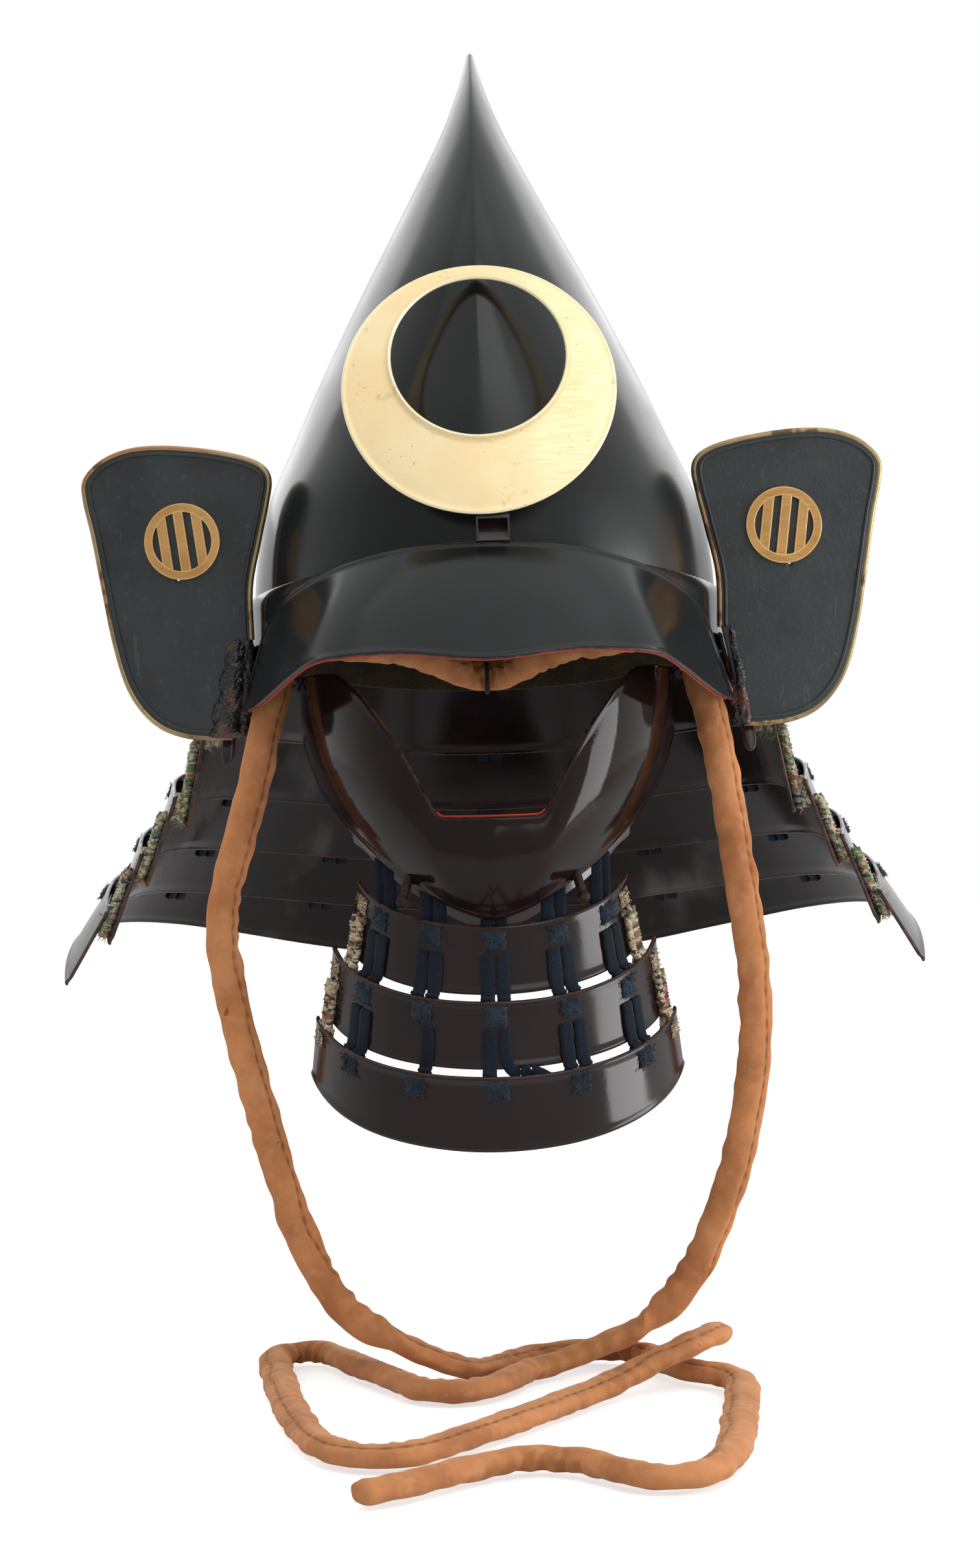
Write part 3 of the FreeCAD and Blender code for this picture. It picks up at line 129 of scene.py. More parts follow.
# Out from the fold, up from the foot
WING_OUTLINE_SHARES = [
    (-0.02, 0.335), (-0.02, 0.51), (-0.075, 0.66), (-0.13, 0.795), (-0.148, 0.868), (-0.115, 0.912),
    (-0.03, 0.942), (0.11, 0.965), (0.3, 0.984), (0.5, 0.995), (0.68, 0.992), (0.83, 0.968),
    (0.93, 0.93), (0.987, 0.885), (0.985, 0.82), (0.94, 0.7), (0.885, 0.52), (0.83, 0.345),
    (0.76, 0.2), (0.67, 0.108), (0.55, 0.045), (0.4, 0.012), (0.25, 0.002), (0.124, 0.0),
]
BADGE_RADIUS = 18.5
BADGE_THICKNESS = 1.8
BADGE_OUT_SHARE = 0.39
BADGE_UP_SHARE = 0.67
MASK_RADIUS = 91.3
MASK_CENTRE_Y = -20.0
MASK_DEPTH_EXTRA = 34.0
MASK_THICKNESS = 2.2
MASK_DROP = 134.0
MASK_END_ANGLE = 100.0
MASK_BULGE = 4.0
MASK_TUCK = 12.0
MASK_CHIN_SHARE = 0.85
# Angle in degrees, drop
MASK_TOP_SHARES = [
    (0.0, 0.647), (14.0, 0.645), (16.0, 0.63), (18.5, 0.577), (24.0, 0.465), (30.3, 0.352),
    (36.0, 0.27), (42.0, 0.2), (51.5, 0.14), (64.0, 0.13), (80.0, 0.13), (100.0, 0.13),
]
MASK_LOW_SHARES = [
    (0.0, 1.0), (9.3, 0.975), (17.1, 0.935), (27.0, 0.874), (35.0, 0.82), (44.5, 0.742),
    (52.0, 0.676), (65.0, 0.555), (79.0, 0.41), (90.0, 0.35), (100.0, 0.33),
]
FLANGE_BELOW = 4.5
THROAT_CENTRE_Y = -74.2
THROAT_DEPTH_EXTRA = -6.0
THROAT_THICKNESS = 1.8
THROAT_DROP = 236.0
THROAT_RADIUS = 89.0
THROAT_TOP_SHARES = [0.742, 0.865, 0.966]
THROAT_LOW_SHARES = [0.798, 0.91, 1.0]
THROAT_END_ANGLES = [73.0, 79.0, 78.0]
THROAT_TOP_MID_SHARES = [0.578, 0.72, 0.86]
THROAT_TOP_END_SHARES = [0.487, 0.614, 0.754]
THROAT_LOW_MID_SHARES = [0.708, 0.847, 1.0]
THROAT_LOW_END_SHARES = [0.623, 0.746, 0.87]
LACE_WIDTH = 5.0
LACE_SPACING = 6.4
LACE_THICKNESS = 1.1
LACE_SEAT = 0.3
LACE_TUCK = 9.0
TIE_PAD_WIDTH = 12.0
TIE_PAD_HEIGHT = 9.0
TIE_PAD_DROP = 2.5
THROAT_COLUMN_SPACING = 29.5
THROAT_COLUMN_COUNT = 5
NECK_COLUMN_COUNT = 7
NECK_COLUMN_ANGLE = 29.0
LACE_START_SHARE = 0.45
CORD_GROUND_Z = -349


def lying(points):
    """Places of a cord's middle on the ground."""
    return [(x, y, CORD_GROUND_Z) for x, y in points]


CORD_HELD_HALF = [
    (99.8, -42.8, -18), (95.8, -37.8, -7), (85, -21, -1), (73, -2, -1),
    (61, 18, -1), (43, 46, -2), (25, 74, -7), (9, 93, -15),
]
CORD_LEFT_ROUTE = [
    (-99.8, -42.8, -18), (-105.8, -50.3, -34.5), (-112, -54, -66), (-122, -58, -100), (-130, -61, -128),
    (-129, -65, -152), (-122, -69, -188), (-112, -72, -225), (-103, -75, -260), (-91, -79, -293),
    (-76, -82, -318), (-54, -85, -331), (-33, -87, -340.5), (-18, -82, -347),
] + lying([
    (-6, -68), (4, -51), (18, -37), (39, -29), (58, -33), (71, -48), (77, -69), (87, -89), (103, -102),
    (108, -123), (104.5, -160), (100, -202), (95, -244), (88, -277), (79, -298), (64, -304), (49, -295),
    (34, -271), (10, -259), (-16, -276), (-37, -300), (-60, -316),
])
CORD_RIGHT_ROUTE = [
    (99.8, -42.8, -18), (105.8, -50.3, -34.5), (112, -54, -68), (116.5, -58, -104), (121, -63, -140),
    (124, -67, -176), (121.5, -68, -213), (114.5, -63, -250), (103.5, -56, -284), (89, -52, -314),
    (68, -50, -334), (46, -53, -343), (26, -62, -348),
] + lying([
    (11, -75), (2, -93), (-6, -112), (-20, -123), (-37, -118), (-48, -98), (-58, -78), (-69, -57),
    (-78.5, -36), (-87, -16), (-101.5, -12.5), (-112.5, -22), (-112, -44), (-107.5, -78), (-102, -120),
    (-95, -162), (-87, -202), (-79, -229), (-67, -247), (-50, -253), (-33, -242), (-16, -216), (2, -190),
    (20, -161), (38, -133),
]) + [
    (50, -119, -347), (62, -109, -343), (74, -103, -339), (85, -98, -335),
    (94, -86, -334), (99, -75, -334.5), (101, -66, -335),
]
BAND_RADIUS = BOWL_HALF_WIDTH + BAND_STEP
HELMET_CENTRE_Y = (BOWL_BACK - BOWL_FRONT) / 2
HELMET_EXTRA = (BOWL_BACK + BOWL_FRONT) / 2 - BOWL_HALF_WIDTH
HELMET = (HELMET_CENTRE_Y, HELMET_EXTRA)
MASK = (MASK_CENTRE_Y, MASK_DEPTH_EXTRA)
THROAT = (THROAT_CENTRE_Y, THROAT_DEPTH_EXTRA)
WING_FACE = LAME_THICKNESS + FACING_THICKNESS

# Geometry helpers


def around(ring, angle, radius, z):
    """A place on a ring of ellipses; angle 0 is the front."""
    centre, extra = ring
    turn = math.radians(angle)
    return Vector((radius * math.sin(turn), centre - (radius + extra) * math.cos(turn), z))


def mix(start, end, share):
    return start + (end - start) * share


def clamp(value, low=0.0, high=1.0):
    return min(max(value, low), high)


def spread(count, start, end):
    return [mix(start, end, i / (count - 1)) for i in range(count)]


def rough(*place):
    """Smooth noise between about -1 and 1."""
    return noise.noise(Vector(place))


def hump(at, middle, width, power=2):
    """A smooth hump of height 1 round a middle."""
    return np.exp(-(np.abs((at - middle) / width) ** power))


def unit(vectors):
    return vectors / np.linalg.norm(vectors, axis=-1, keepdims=True)


def square_to(along, vectors):
    """The parts of vectors that are square to a direction, at length 1."""
    return unit(vectors - along * np.sum(vectors * along, axis=-1, keepdims=True))


def run_along(points, axis=0):
    """Each point's distance from the first, along a path or one way over a grid."""
    steps = np.linalg.norm(np.diff(points, axis=axis), axis=-1)
    return np.insert(np.cumsum(steps, axis=axis), 0, 0.0, axis=axis)


def smooth(table, at, column=1):
    """A table's column at a value between its rows, with no overshoot."""
    xs, ys = [row[0] for row in table], [row[column] for row in table]
    at = clamp(at, xs[0], xs[-1])
    i = next(k for k in range(len(xs) - 1) if at <= xs[k + 1])

    def slope(k):
        if k in (0, len(xs) - 1):
            return 0.0
        before = (ys[k] - ys[k - 1]) / (xs[k] - xs[k - 1])
        after = (ys[k + 1] - ys[k]) / (xs[k + 1] - xs[k])
        return 0.0 if before * after <= 0 else 2 * before * after / (before + after)

    reach = xs[i + 1] - xs[i]
    t = (at - xs[i]) / reach
    bend = reach * (slope(i) * (t**3 - 2 * t**2 + t) + slope(i + 1) * (t**3 - t**2))
    return ys[i] * (2 * t**3 - 3 * t**2 + 1) + ys[i + 1] * (3 * t**2 - 2 * t**3) + bend


def eased(table, column, count, reach):
    """A table's column read finely and then smoothed, so that a gloss shows no joints."""
    xs = np.linspace(table[0][0], table[-1][0], count)
    ys = np.array([smooth(table, x, column) for x in xs])
    kernel = np.hanning(2 * reach + 3)[1:-1]
    kernel /= kernel.sum()
    for _ in range(2):
        start = 2 * ys[0] - ys[reach:0:-1]
        end = 2 * ys[-1] - ys[-2 : -2 - reach : -1]
        ys = np.convolve(np.concatenate([start, ys, end]), kernel, "valid")
    return lambda at: float(np.interp(at, xs, ys))


def edge_list(count, start, end, length, round_edge):
    """Evenly spread values with extra ones close to both ends, for a rounded edge."""
    near = [round_edge * s / length * (end - start) for s in (0.13, 0.5, 1.0)]
    inner = spread(count, start + 2 * near[2], end - 2 * near[2])
    return [start] + [start + n for n in near] + inner + [end - n for n in reversed(near)] + [end]


def linked(name, data):
    """A new object in the scene."""
    obj = bpy.data.objects.new(name, data)
    bpy.context.scene.collection.objects.link(obj)
    return obj


def new_object(name, points, faces, uvs=None, values=()):
    """A mesh object from points in millimetres, with per-point values as attributes."""
    mesh = bpy.data.meshes.new(name)
    mesh.from_pydata([tuple(p) for p in np.asarray(points) * MM], [], faces)
    mesh.validate()
    for key in values:
        layer = mesh.attributes.new(key, "FLOAT", "POINT")
        layer.data.foreach_set("value", np.asarray(values[key], np.float32))
    if uvs is not None:
        layer = mesh.uv_layers.new(name="UVMap")
        index = np.zeros(len(mesh.loops), np.int64)
        mesh.loops.foreach_get("vertex_index", index)
        layer.data.foreach_set("uv", np.asarray(uvs, np.float32)[index].ravel())
    mesh.polygons.foreach_set("use_smooth", [True] * len(mesh.polygons))
    return linked(name, mesh)


class Build:
    """Gathers several grids into one mesh."""

    # A point's distance from the edge in mm, its skin (1 inside) and its share of a colour ramp
    usual = {"edge": 20.0, "side": 0.0, "tint": 0.0}

    def __init__(self):
        self.points, self.faces, self.uvs = [], [], []
        self.values = {key: [] for key in self.usual}

    def add(self, points, faces, uvs, **values):
        base = len(self.points)
        self.points += [tuple(p) for p in points]
        self.faces += [tuple(base + i for i in face) for face in faces]
        self.uvs += [tuple(uv) for uv in uvs]
        for key, plain in self.usual.items():
            self.values[key] += list(np.ones(len(points)) * values.get(key, plain))

    def make(self, name, material, body, slot, replaces=()):
        """The piece, with its material, body and the CAD nodes that it replaces; the record slot is not used."""
        obj = new_object(name, self.points, self.faces, self.uvs, self.values)
        two_sided = isinstance(material, tuple)
        for item in material if two_sided else (material,):
            obj.data.materials.append(item)
        if body:
            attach(obj, body)
        if replaces:
            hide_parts(*replaces)
        if two_sided:
            inner = np.array(self.values["side"]) > 0.5
            for face in obj.data.polygons:
                face.material_index = int(all(inner[v] for v in face.vertices))
        return obj


def grid_faces(index, wrap, flip):
    """Faces between the numbered points of a grid."""
    faces = []
    rows, cols = index.shape
    for i in range(rows if wrap else rows - 1):
        one, two = index[i].tolist(), index[(i + 1) % rows].tolist()
        for j in range(cols - 1):
            face = [one[j], two[j], two[j + 1], one[j + 1]]
            face = list(dict.fromkeys(face[::-1] if flip else face))
            if len(face) > 2:
                faces.append(face)
    return faces


def plate(build, place, high, low, us, vs, wrap=False, round_edge=1.0, lift=None, flip=False):
    """A thin plate whose free edges are rounded over.

    Its skins are place(u, v, high) and place(u, v, low). A tuple of count, start, end and
    length in mm stands for values that crowd together at both ends.
    """
    us, vs = (edge_list(*n, round_edge) if isinstance(n, tuple) else n for n in (us, vs))
    top, low = (np.array([[place(u, v, at) for v in vs] for u in us], float) for at in (high, low))
    middle = (top + low) / 2
    across, down = run_along(middle, 0), run_along(middle, 1)
    edge = np.minimum(down, down[:, -1:] - down)
    if not wrap:
        edge = np.minimum(edge, np.minimum(across, across[-1:] - across))
    share = np.sqrt(np.clip(1 - (1 - np.clip(edge / round_edge, 0, 1)) ** 2, 0, 1))[..., None]
    top, low = middle + (top - middle) * share, middle + (low - middle) * share
    if lift:
        normal = np.cross(np.gradient(top, axis=0), np.gradient(top, axis=1))
        normal /= np.linalg.norm(normal, axis=2, keepdims=True) + 1e-12
        sign = np.sign(np.sum(normal * (top - low), axis=2).mean() or 1)
        amount = lift(across, down, us, vs)[..., None] * sign
        top, low = top + normal * amount, low + normal * amount
    skins = np.stack([top, low], axis=2)
    own = np.ones(skins.shape[:3], bool)  # The skins share their points on a free edge
    own[:, [0, -1], 1] = False
    if not wrap:
        own[[0, -1], :, 1] = False
    index = np.cumsum(own).reshape(own.shape) - 1
    faces = grid_faces(index[..., 0], wrap, not flip) + grid_faces(index[..., 1], wrap, flip)
    i, j, side = np.nonzero(own)
    uvs = np.stack([across[i, j], down[i, j]], axis=1) * MM
    build.add(skins[own], faces, uvs, edge=edge[i, j], side=side)


def shell(name, material, body, slot, replaces, *given, **how):
    """A piece made of one plate."""
    build = Build()
    plate(build, *given, **how)
    build.make(name, material, body, slot, replaces)


def frames(path):
    """Two directions square to a path that turn as little as they can."""
    along = unit(np.gradient(path, axis=0))
    side = np.zeros_like(path)
    start = np.cross(along[0], (0.0, 0.0, 1.0))
    if np.linalg.norm(start) < 0.1:
        start = np.cross(along[0], (0.0, 1.0, 0.0))
    side[0] = unit(start)
    for i in range(1, len(path)):
        side[i] = square_to(along[i], side[i - 1])
    return side, np.cross(side, along)


def tube(build, path, radius, sides=8, flat=1.0, axes=None, tint=0.0, shape=1.0):
    """A closed tube along a path; radius may differ from point to point."""
    path = np.asarray(path, float)
    one, two = (axis[:, None] for axis in (axes or frames(path)))
    run = run_along(path)
    turn = np.arange(sides)[:, None] / sides * CIRCLE
    radii = (np.ones(len(path)) * radius)[:, None] * (np.ones(sides) * shape)
    rings = path[:, None] + radii[..., None] * (one * np.cos(turn) + two * np.sin(turn) * flat)
    points = [path[0], *rings.reshape(-1, 3), path[-1]]
    uvs = [(0, 0), *((k / sides, r * MM) for r in run for k in range(sides)), (0, run[-1] * MM)]
    last = len(points) - 1
    faces = []
    for start in range(1, last - sides, sides):
        for k in range(sides):
            a, b = start + k, start + (k + 1) % sides
            faces.append((a, b, b + sides, a + sides))
    for k in range(sides):
        a, b = 1 + k, 1 + (k + 1) % sides
        faces += [(0, b, a), (last, last - sides - 1 + a, last - sides - 1 + b)]
    build.add(points, faces, uvs, tint=tint)


def rod(name, material, body, slot, replaces, *given):
    """A piece made of one tube."""
    build = Build()
    tube(build, *given)
    build.make(name, material, body, slot, replaces)


def nurbs_points(route, per_run=14):
    """Points of the smooth line that a route's points control, in millimetres."""
    data = bpy.data.curves.new("route", "CURVE")
    data.dimensions = "3D"
    data.resolution_u = per_run
    spline = data.splines.new("NURBS")
    spline.points.add(len(route) - 1)
    for point, place in zip(spline.points, route):
        point.co = (*(c * MM for c in place), 1.0)
    spline.order_u = 3
    spline.use_endpoint_u = True
    obj = linked("route", data)
    bpy.context.view_layer.update()
    mesh = bpy.data.meshes.new_from_object(obj)
    points = np.array([v.co[:] for v in mesh.vertices]) / MM
    bpy.data.objects.remove(obj)
    bpy.data.meshes.remove(mesh)
    bpy.data.curves.remove(data)
    return points


def spline_through(points, per_run=10):
    """A smooth line that passes through all these points."""
    p = [np.array(q, float) for q in points]
    p = [2 * p[0] - p[1]] + p + [2 * p[-1] - p[-2]]
    line = []
    for a, b, c, d in zip(p, p[1:], p[2:], p[3:]):
        for i in range(per_run):
            t = i / per_run
            high = (2 * a - 5 * b + 4 * c - d) * t**2 + (3 * b - a - 3 * c + d) * t**3
            line.append(0.5 * (2 * b + (c - a) * t + high))
    return np.array(line + [p[-2]])


def resample(path, step):
    """The same line with points an even step apart."""
    run = run_along(path)
    at = np.linspace(0, run[-1], max(int(run[-1] / step), 2) + 1)
    return np.stack([np.interp(at, run, path[:, k]) for k in range(3)], axis=1)


# Camera

CAMERA_PLACE = (0.0, -1.5, -0.072)
CAMERA_ROLL = math.radians(1.6)
CAMERA_LENS = 69.25
FLOOR_Z = -356.0

camera = linked("camera", bpy.data.cameras.new("camera"))
bpy.context.scene.camera = camera
camera.data.lens = CAMERA_LENS
camera.data.sensor_fit = "AUTO"
camera.data.sensor_width = 36.0
camera.data.clip_end = 20.0
right = Vector((math.cos(CAMERA_ROLL), 0, -math.sin(CAMERA_ROLL)))
upward = Vector((math.sin(CAMERA_ROLL), 0, math.cos(CAMERA_ROLL)))
turned = Matrix((right, upward, right.cross(upward))).transposed().to_4x4()
camera.matrix_world = Matrix.Translation(CAMERA_PLACE) @ turned
bpy.context.scene.view_settings.view_transform = "Standard"

# Materials


def fill(tree, item, inputs):
    """Sets a node's inputs to values or to other nodes' outputs."""
    for key, value in inputs.items():
        socket = item.inputs[key]
        if isinstance(value, bpy.types.NodeSocket):
            tree.links.new(value, socket)
        else:
            socket.default_value = (*value[:3], 1.0) if socket.type == "RGBA" else value


def node(tree, kind, inputs=None, **props):
    item = tree.nodes.new("ShaderNode" + kind)
    for key, value in props.items():
        setattr(item, key, value)
    fill(tree, item, inputs or {})
    return item


def blank(owner):
    """The emptied node tree of a material or world."""
    owner.use_nodes = True
    owner.node_tree.nodes.clear()
    return owner.node_tree


class Shader:
    """Short calls for building one node material."""

    def __init__(self, name):
        self.material = bpy.data.materials.new(name)
        self.tree = blank(self.material)
        self.bsdf = node(self.tree, "BsdfPrincipled")
        node(self.tree, "OutputMaterial", {0: self.bsdf.outputs[0]})
        self.place = node(self.tree, "TexCoord").outputs["Object"]

    def set(self, **inputs):
        fill(self.tree, self.bsdf, {key.replace("_", " "): value for key, value in inputs.items()})

    def math(self, operation, a, b, clamped=False):
        return node(self.tree, "Math", {0: a, 1: b}, operation=operation, use_clamp=clamped).outputs[0]

    def times(self, a, b):
        return self.math("MULTIPLY", a, b)

    def plus(self, a, b):
        return self.math("ADD", a, b)

    def attribute(self, name):
        return node(self.tree, "Attribute", attribute_name=name).outputs["Fac"]

    def mapped(self, scale):
        return node(self.tree, "Mapping", {"Vector": self.place, "Scale": scale}).outputs[0]

    def noise(self, scale, detail=4.0, roughness=0.55, vector=None):
        inputs = {"Vector": vector or self.place, "Scale": scale, "Detail": detail, "Roughness": roughness}
        return node(self.tree, "TexNoise", inputs).outputs["Fac"]

    def span(self, value, low, high, out_low=0.0, out_high=1.0):
        inputs = {"Value": value, "From Min": low, "From Max": high, "To Min": out_low, "To Max": out_high}
        return node(self.tree, "MapRange", inputs, clamp=True, interpolation_type="SMOOTHSTEP").outputs[0]

    def blend(self, share, one, two):
        return node(self.tree, "Mix", {0: share, 6: one, 7: two}, data_type="RGBA").outputs[2]

    def bump(self, height, distance, strength, normal=None):
        inputs = {"Height": height, "Distance": distance, "Strength": strength}
        if normal is not None:
            inputs["Normal"] = normal
        return node(self.tree, "Bump", inputs).outputs[0]


def lacquer(name, colour, under, dull, wear, reach, speck, specular, clear=0.0, edged=True, dust_and_reflection=0.0):
    """Gloss lacquer over a red-brown ground, with fine scratches and chipped edges."""
    s = Shader(name)
    cloud, grain, chips = s.noise(18.0, 5.0), s.noise(420.0), s.noise(150.0, 6.0, 0.65)
    near = s.span(s.attribute("edge"), 0.0, reach, 1.0, 0.0) if edged else 0.12
    ragged = s.times(near, s.span(chips, 0.36, 0.62))
    specks = s.span(s.noise(210.0, 8.0, 0.7), speck, speck + 0.03)
    scattered = s.times(specks, s.span(cloud, 0.45, 0.6))
    worn = s.math("MULTIPLY", s.math("MAXIMUM", ragged, scattered), wear, True)
    tone = s.blend(s.span(cloud, 0.3, 0.7), colour, [c * 1.45 for c in colour])
    # Pale streaky patches, partly dust smudges and partly a painted reflection of bright windows
    if dust_and_reflection:
        patches = s.span(s.noise(7.0, 3.0), 0.4, 0.62)
        dust_reflection_streaks = s.times(s.noise(2.4, 5.0, 0.65, s.mapped((9.0, 9.0, 2.5))), patches)
        tone = s.blend(s.times(s.span(dust_reflection_streaks, 0.24, 0.52), dust_and_reflection), tone, (0.085, 0.077, 0.077))
    body = s.blend(worn, tone, s.blend(grain, under, [c * 0.45 for c in under]))
    scratch = s.span(s.noise(60.0, 3.0, 0.6, s.mapped((1.0, 1.0, 26.0))), 0.66, 0.7, 0.0, 0.1)
    smear = s.span(s.noise(9.0, 3.0), 0.35, 0.7, dull * 0.8, dull * 1.7)
    waves = s.bump(s.noise(26.0, 2.0, 0.4), 0.0006, 0.35)
    fine = s.bump(s.math("SUBTRACT", grain, s.times(worn, 3.0)), 0.0002, 0.12, waves)
    s.set(Base_Color=body, Roughness=s.plus(s.times(worn, 0.45), s.plus(smear, scratch)), Normal=fine)
    s.set(Coat_Weight=clear, Coat_Roughness=0.06, Specular_IOR_Level=specular)
    return s.material


def brass(name, pale, deep, speck_colour, dull, green=0.0, metallic=0.92, copper=None):
    """Worn brass with dark specks, bright edges and, where asked for, green or copper patches."""
    s = Shader(name)
    tone = s.blend(s.span(s.noise(28.0, 5.0), 0.3, 0.7), pale, deep)
    if copper:
        tone = s.blend(s.span(s.noise(11.0, 3.0), 0.48, 0.58), tone, copper)
        tone = s.blend(s.span(s.noise(34.0, 6.0, 0.7), 0.54, 0.62, 0.0, 0.8), tone, speck_colour)
    specks = s.span(s.noise(560.0, 3.0, 0.6), 0.66, 0.73)
    patches = s.times(specks, s.span(s.noise(40.0, 2.0), 0.35, 0.65))
    tone = s.blend(s.times(patches, 0.75), tone, speck_colour)
    bright = s.span(s.attribute("edge"), 0.0, 1.1, 1.0, 0.0)
    tone = s.blend(s.times(bright, 0.7), tone, [min(c * 1.25 + 0.1, 1.0) for c in pale])
    if green:
        tone = s.blend(s.times(s.span(s.noise(70.0, 6.0, 0.7), 0.6, 0.68), green), tone, (0.12, 0.2, 0.1))
    streak = s.noise(90.0, 3.0, 0.6, s.mapped((1.0, 1.0, 14.0)))
    s.set(Base_Color=tone, Metallic=metallic, Roughness=s.span(streak, 0.3, 0.75, dull * 0.8, dull * 1.3))
    s.set(Normal=s.bump(s.noise(300.0), 0.0002, 0.12))
    return s.material


def cloth(name, dark, light, sheen, fuzz):
    """Dull fabric with a fine fibre."""
    s = Shader(name)
    fibre = s.noise(900.0, 3.0, 0.6)
    share = s.times(s.plus(fibre, s.noise(45.0)), 0.5)
    s.set(Base_Color=s.blend(s.span(share, 0.25, 0.75), dark, light), Roughness=0.9)
    s.set(Sheen_Weight=sheen, Sheen_Roughness=0.4, Specular_IOR_Level=0.25)
    s.set(Normal=s.bump(fibre, 0.0004, fuzz))
    return s.material


def braid(name, colours):
    """Braid whose strands take their colours from the tint of each strand."""
    s = Shader(name)
    ramp = node(s.tree, "ValToRGB", {"Fac": s.attribute("tint")})
    ramp.color_ramp.interpolation = "CONSTANT"
    stops = ramp.color_ramp.elements
    while len(stops) < len(colours):
        stops.new(0.5)
    for i, colour in enumerate(colours):
        stops[i].position = i / len(colours)
        stops[i].color = (*colour, 1.0)
    fibre = s.noise(800.0, 3.0, 0.6)
    tone = s.blend(s.span(fibre, 0.35, 0.75, 0.0, 0.55), ramp.outputs[0], (0.02, 0.018, 0.015))
    s.set(Base_Color=tone, Roughness=0.92, Sheen_Weight=0.15, Normal=s.bump(fibre, 0.0004, 0.6))
    return s.material


def velvet(name):
    """Rubbed brown velvet with a few red threads, painted sheen on its creases and a dark seam."""
    s = Shader(name)
    pile, rubbed, creases_and_sheen = s.noise(1500.0, 2.0, 0.6), s.noise(34.0, 5.0, 0.6), s.noise(170.0, 4.0, 0.6)
    tone = s.blend(s.span(rubbed, 0.35, 0.68), (0.61, 0.262, 0.108), (0.43, 0.168, 0.066))
    # Paler tan on the crease noise is painted sheen on the folds; the same noise also raises the creases in the
    # bump
    tone = s.blend(s.span(creases_and_sheen, 0.5, 0.75, 0.0, 0.45), tone, (0.64, 0.33, 0.165))
    threads = s.times(s.span(s.noise(120.0, 5.0), 0.7, 0.73), 0.8)
    tone = s.blend(threads, tone, (0.35, 0.03, 0.02))
    tone = s.blend(s.span(s.attribute("side"), 0.2, 1.0, 0.0, 0.75), tone, (0.09, 0.035, 0.016))
    s.set(Base_Color=tone, Roughness=0.95, Specular_IOR_Level=0.15)
    s.set(Sheen_Weight=0.55, Sheen_Roughness=0.35, Sheen_Tint=(0.9, 0.6, 0.4))
    s.set(Normal=s.bump(s.plus(s.times(pile, 0.5), creases_and_sheen), 0.0007, 0.55))
    return s.material


def leather(name, dark, light, gloss=0.45, worn=None, relief=0.0005):
    """Grained leather with rubbed spots and upright scuffs."""
    s = Shader(name)
    cells = node(s.tree, "TexVoronoi", {"Vector": s.place, "Scale": 520.0}).outputs["Distance"]
    cloud = s.noise(30.0, 5.0)
    rub = s.times(s.span(s.noise(240.0, 6.0, 0.7), 0.58, 0.68), 0.5)
    tone = s.blend(s.span(cloud, 0.3, 0.7), dark, light)
    tone = s.blend(rub, tone, worn or [c * 2.2 for c in light])
    if worn:
        tone = s.blend(s.span(s.noise(48.0, 4.0, 0.6), 0.52, 0.6, 0.0, 0.8), tone, worn)
    scuffs = s.span(s.noise(26.0, 4.0, 0.65, s.mapped((9.0, 9.0, 1.6))), 0.62, 0.68, 0.0, 0.3)
    tone = s.blend(scuffs, tone, [c * 3.0 for c in light])
    crackle = s.plus(s.times(cells, 0.8), s.noise(160.0, 5.0))
    s.set(Base_Color=tone, Roughness=s.span(cloud, 0.3, 0.7, gloss, gloss + 0.2))
    s.set(Normal=s.bump(crackle, relief, 0.35), Coat_Weight=0.15, Coat_Roughness=0.3)
    return s.material


def speckled(name, dark, light, dull, metallic):
    """Dark iron or wood with fine spots."""
    s = Shader(name)
    spots = s.noise(260.0, 6.0, 0.65)
    s.set(Base_Color=s.blend(s.span(spots, 0.35, 0.65), dark, light), Metallic=metallic)
    s.set(Roughness=s.span(spots, 0.3, 0.7, dull, dull + 0.25), Normal=s.bump(spots, 0.0003, 0.3))
    return s.material


BLACK = lacquer("bowl_lacquer", (0.0045, 0.0055, 0.006), (0.16, 0.04, 0.02), 0.19, 0.35, 0.7, 0.78, 0.4)
BAND = lacquer("band_lacquer", (0.0035, 0.0045, 0.005), (0.16, 0.045, 0.025), 0.15, 0.8, 1.0, 0.74, 0.4)
PEAK = lacquer("peak_lacquer", (0.005, 0.0065, 0.007), (0.32, 0.06, 0.03), 0.18, 0.9, 0.9, 0.76, 0.36)
PLATE = lacquer("plate_lacquer", (0.013, 0.0068, 0.0065), (0.2, 0.09, 0.05), 0.15, 0.6, 0.9, 0.71, 0.38)
# The inner lacquer has pale streaks that are partly dust and partly painted reflection
INNER = lacquer(
    "inner_lacquer", (0.0085, 0.0042, 0.0046), (0.14, 0.06, 0.035), 0.2, 0.6, 0.8, 0.68, 0.22, dust_and_reflection=1.0
)
FACE = lacquer("mask_lacquer", (0.0095, 0.0048, 0.0042), (0.3, 0.16, 0.09), 0.09, 0.55, 0.8, 0.74, 0.22)
RED = lacquer("red_lacquer", (0.4, 0.028, 0.014), (0.12, 0.03, 0.02), 0.35, 0.8, 0.6, 0.6, 0.3, edged=False)
GOLD = brass("pale_brass", (0.99, 0.82, 0.5), (0.96, 0.74, 0.4), (0.3, 0.17, 0.06), 0.42, 0.25, 0.72)
BADGE = brass("badge_brass", (0.8, 0.46, 0.17), (0.62, 0.33, 0.11), (0.18, 0.09, 0.03), 0.36)
RIM = brass(
    "aged_brass", (0.5, 0.37, 0.18), (0.24, 0.18, 0.1), (0.06, 0.045, 0.03), 0.4, 0.3, copper=(0.46, 0.24, 0.12)
)
IRON = speckled("dark_iron", (0.02, 0.017, 0.015), (0.07, 0.045, 0.03), 0.45, 0.9)
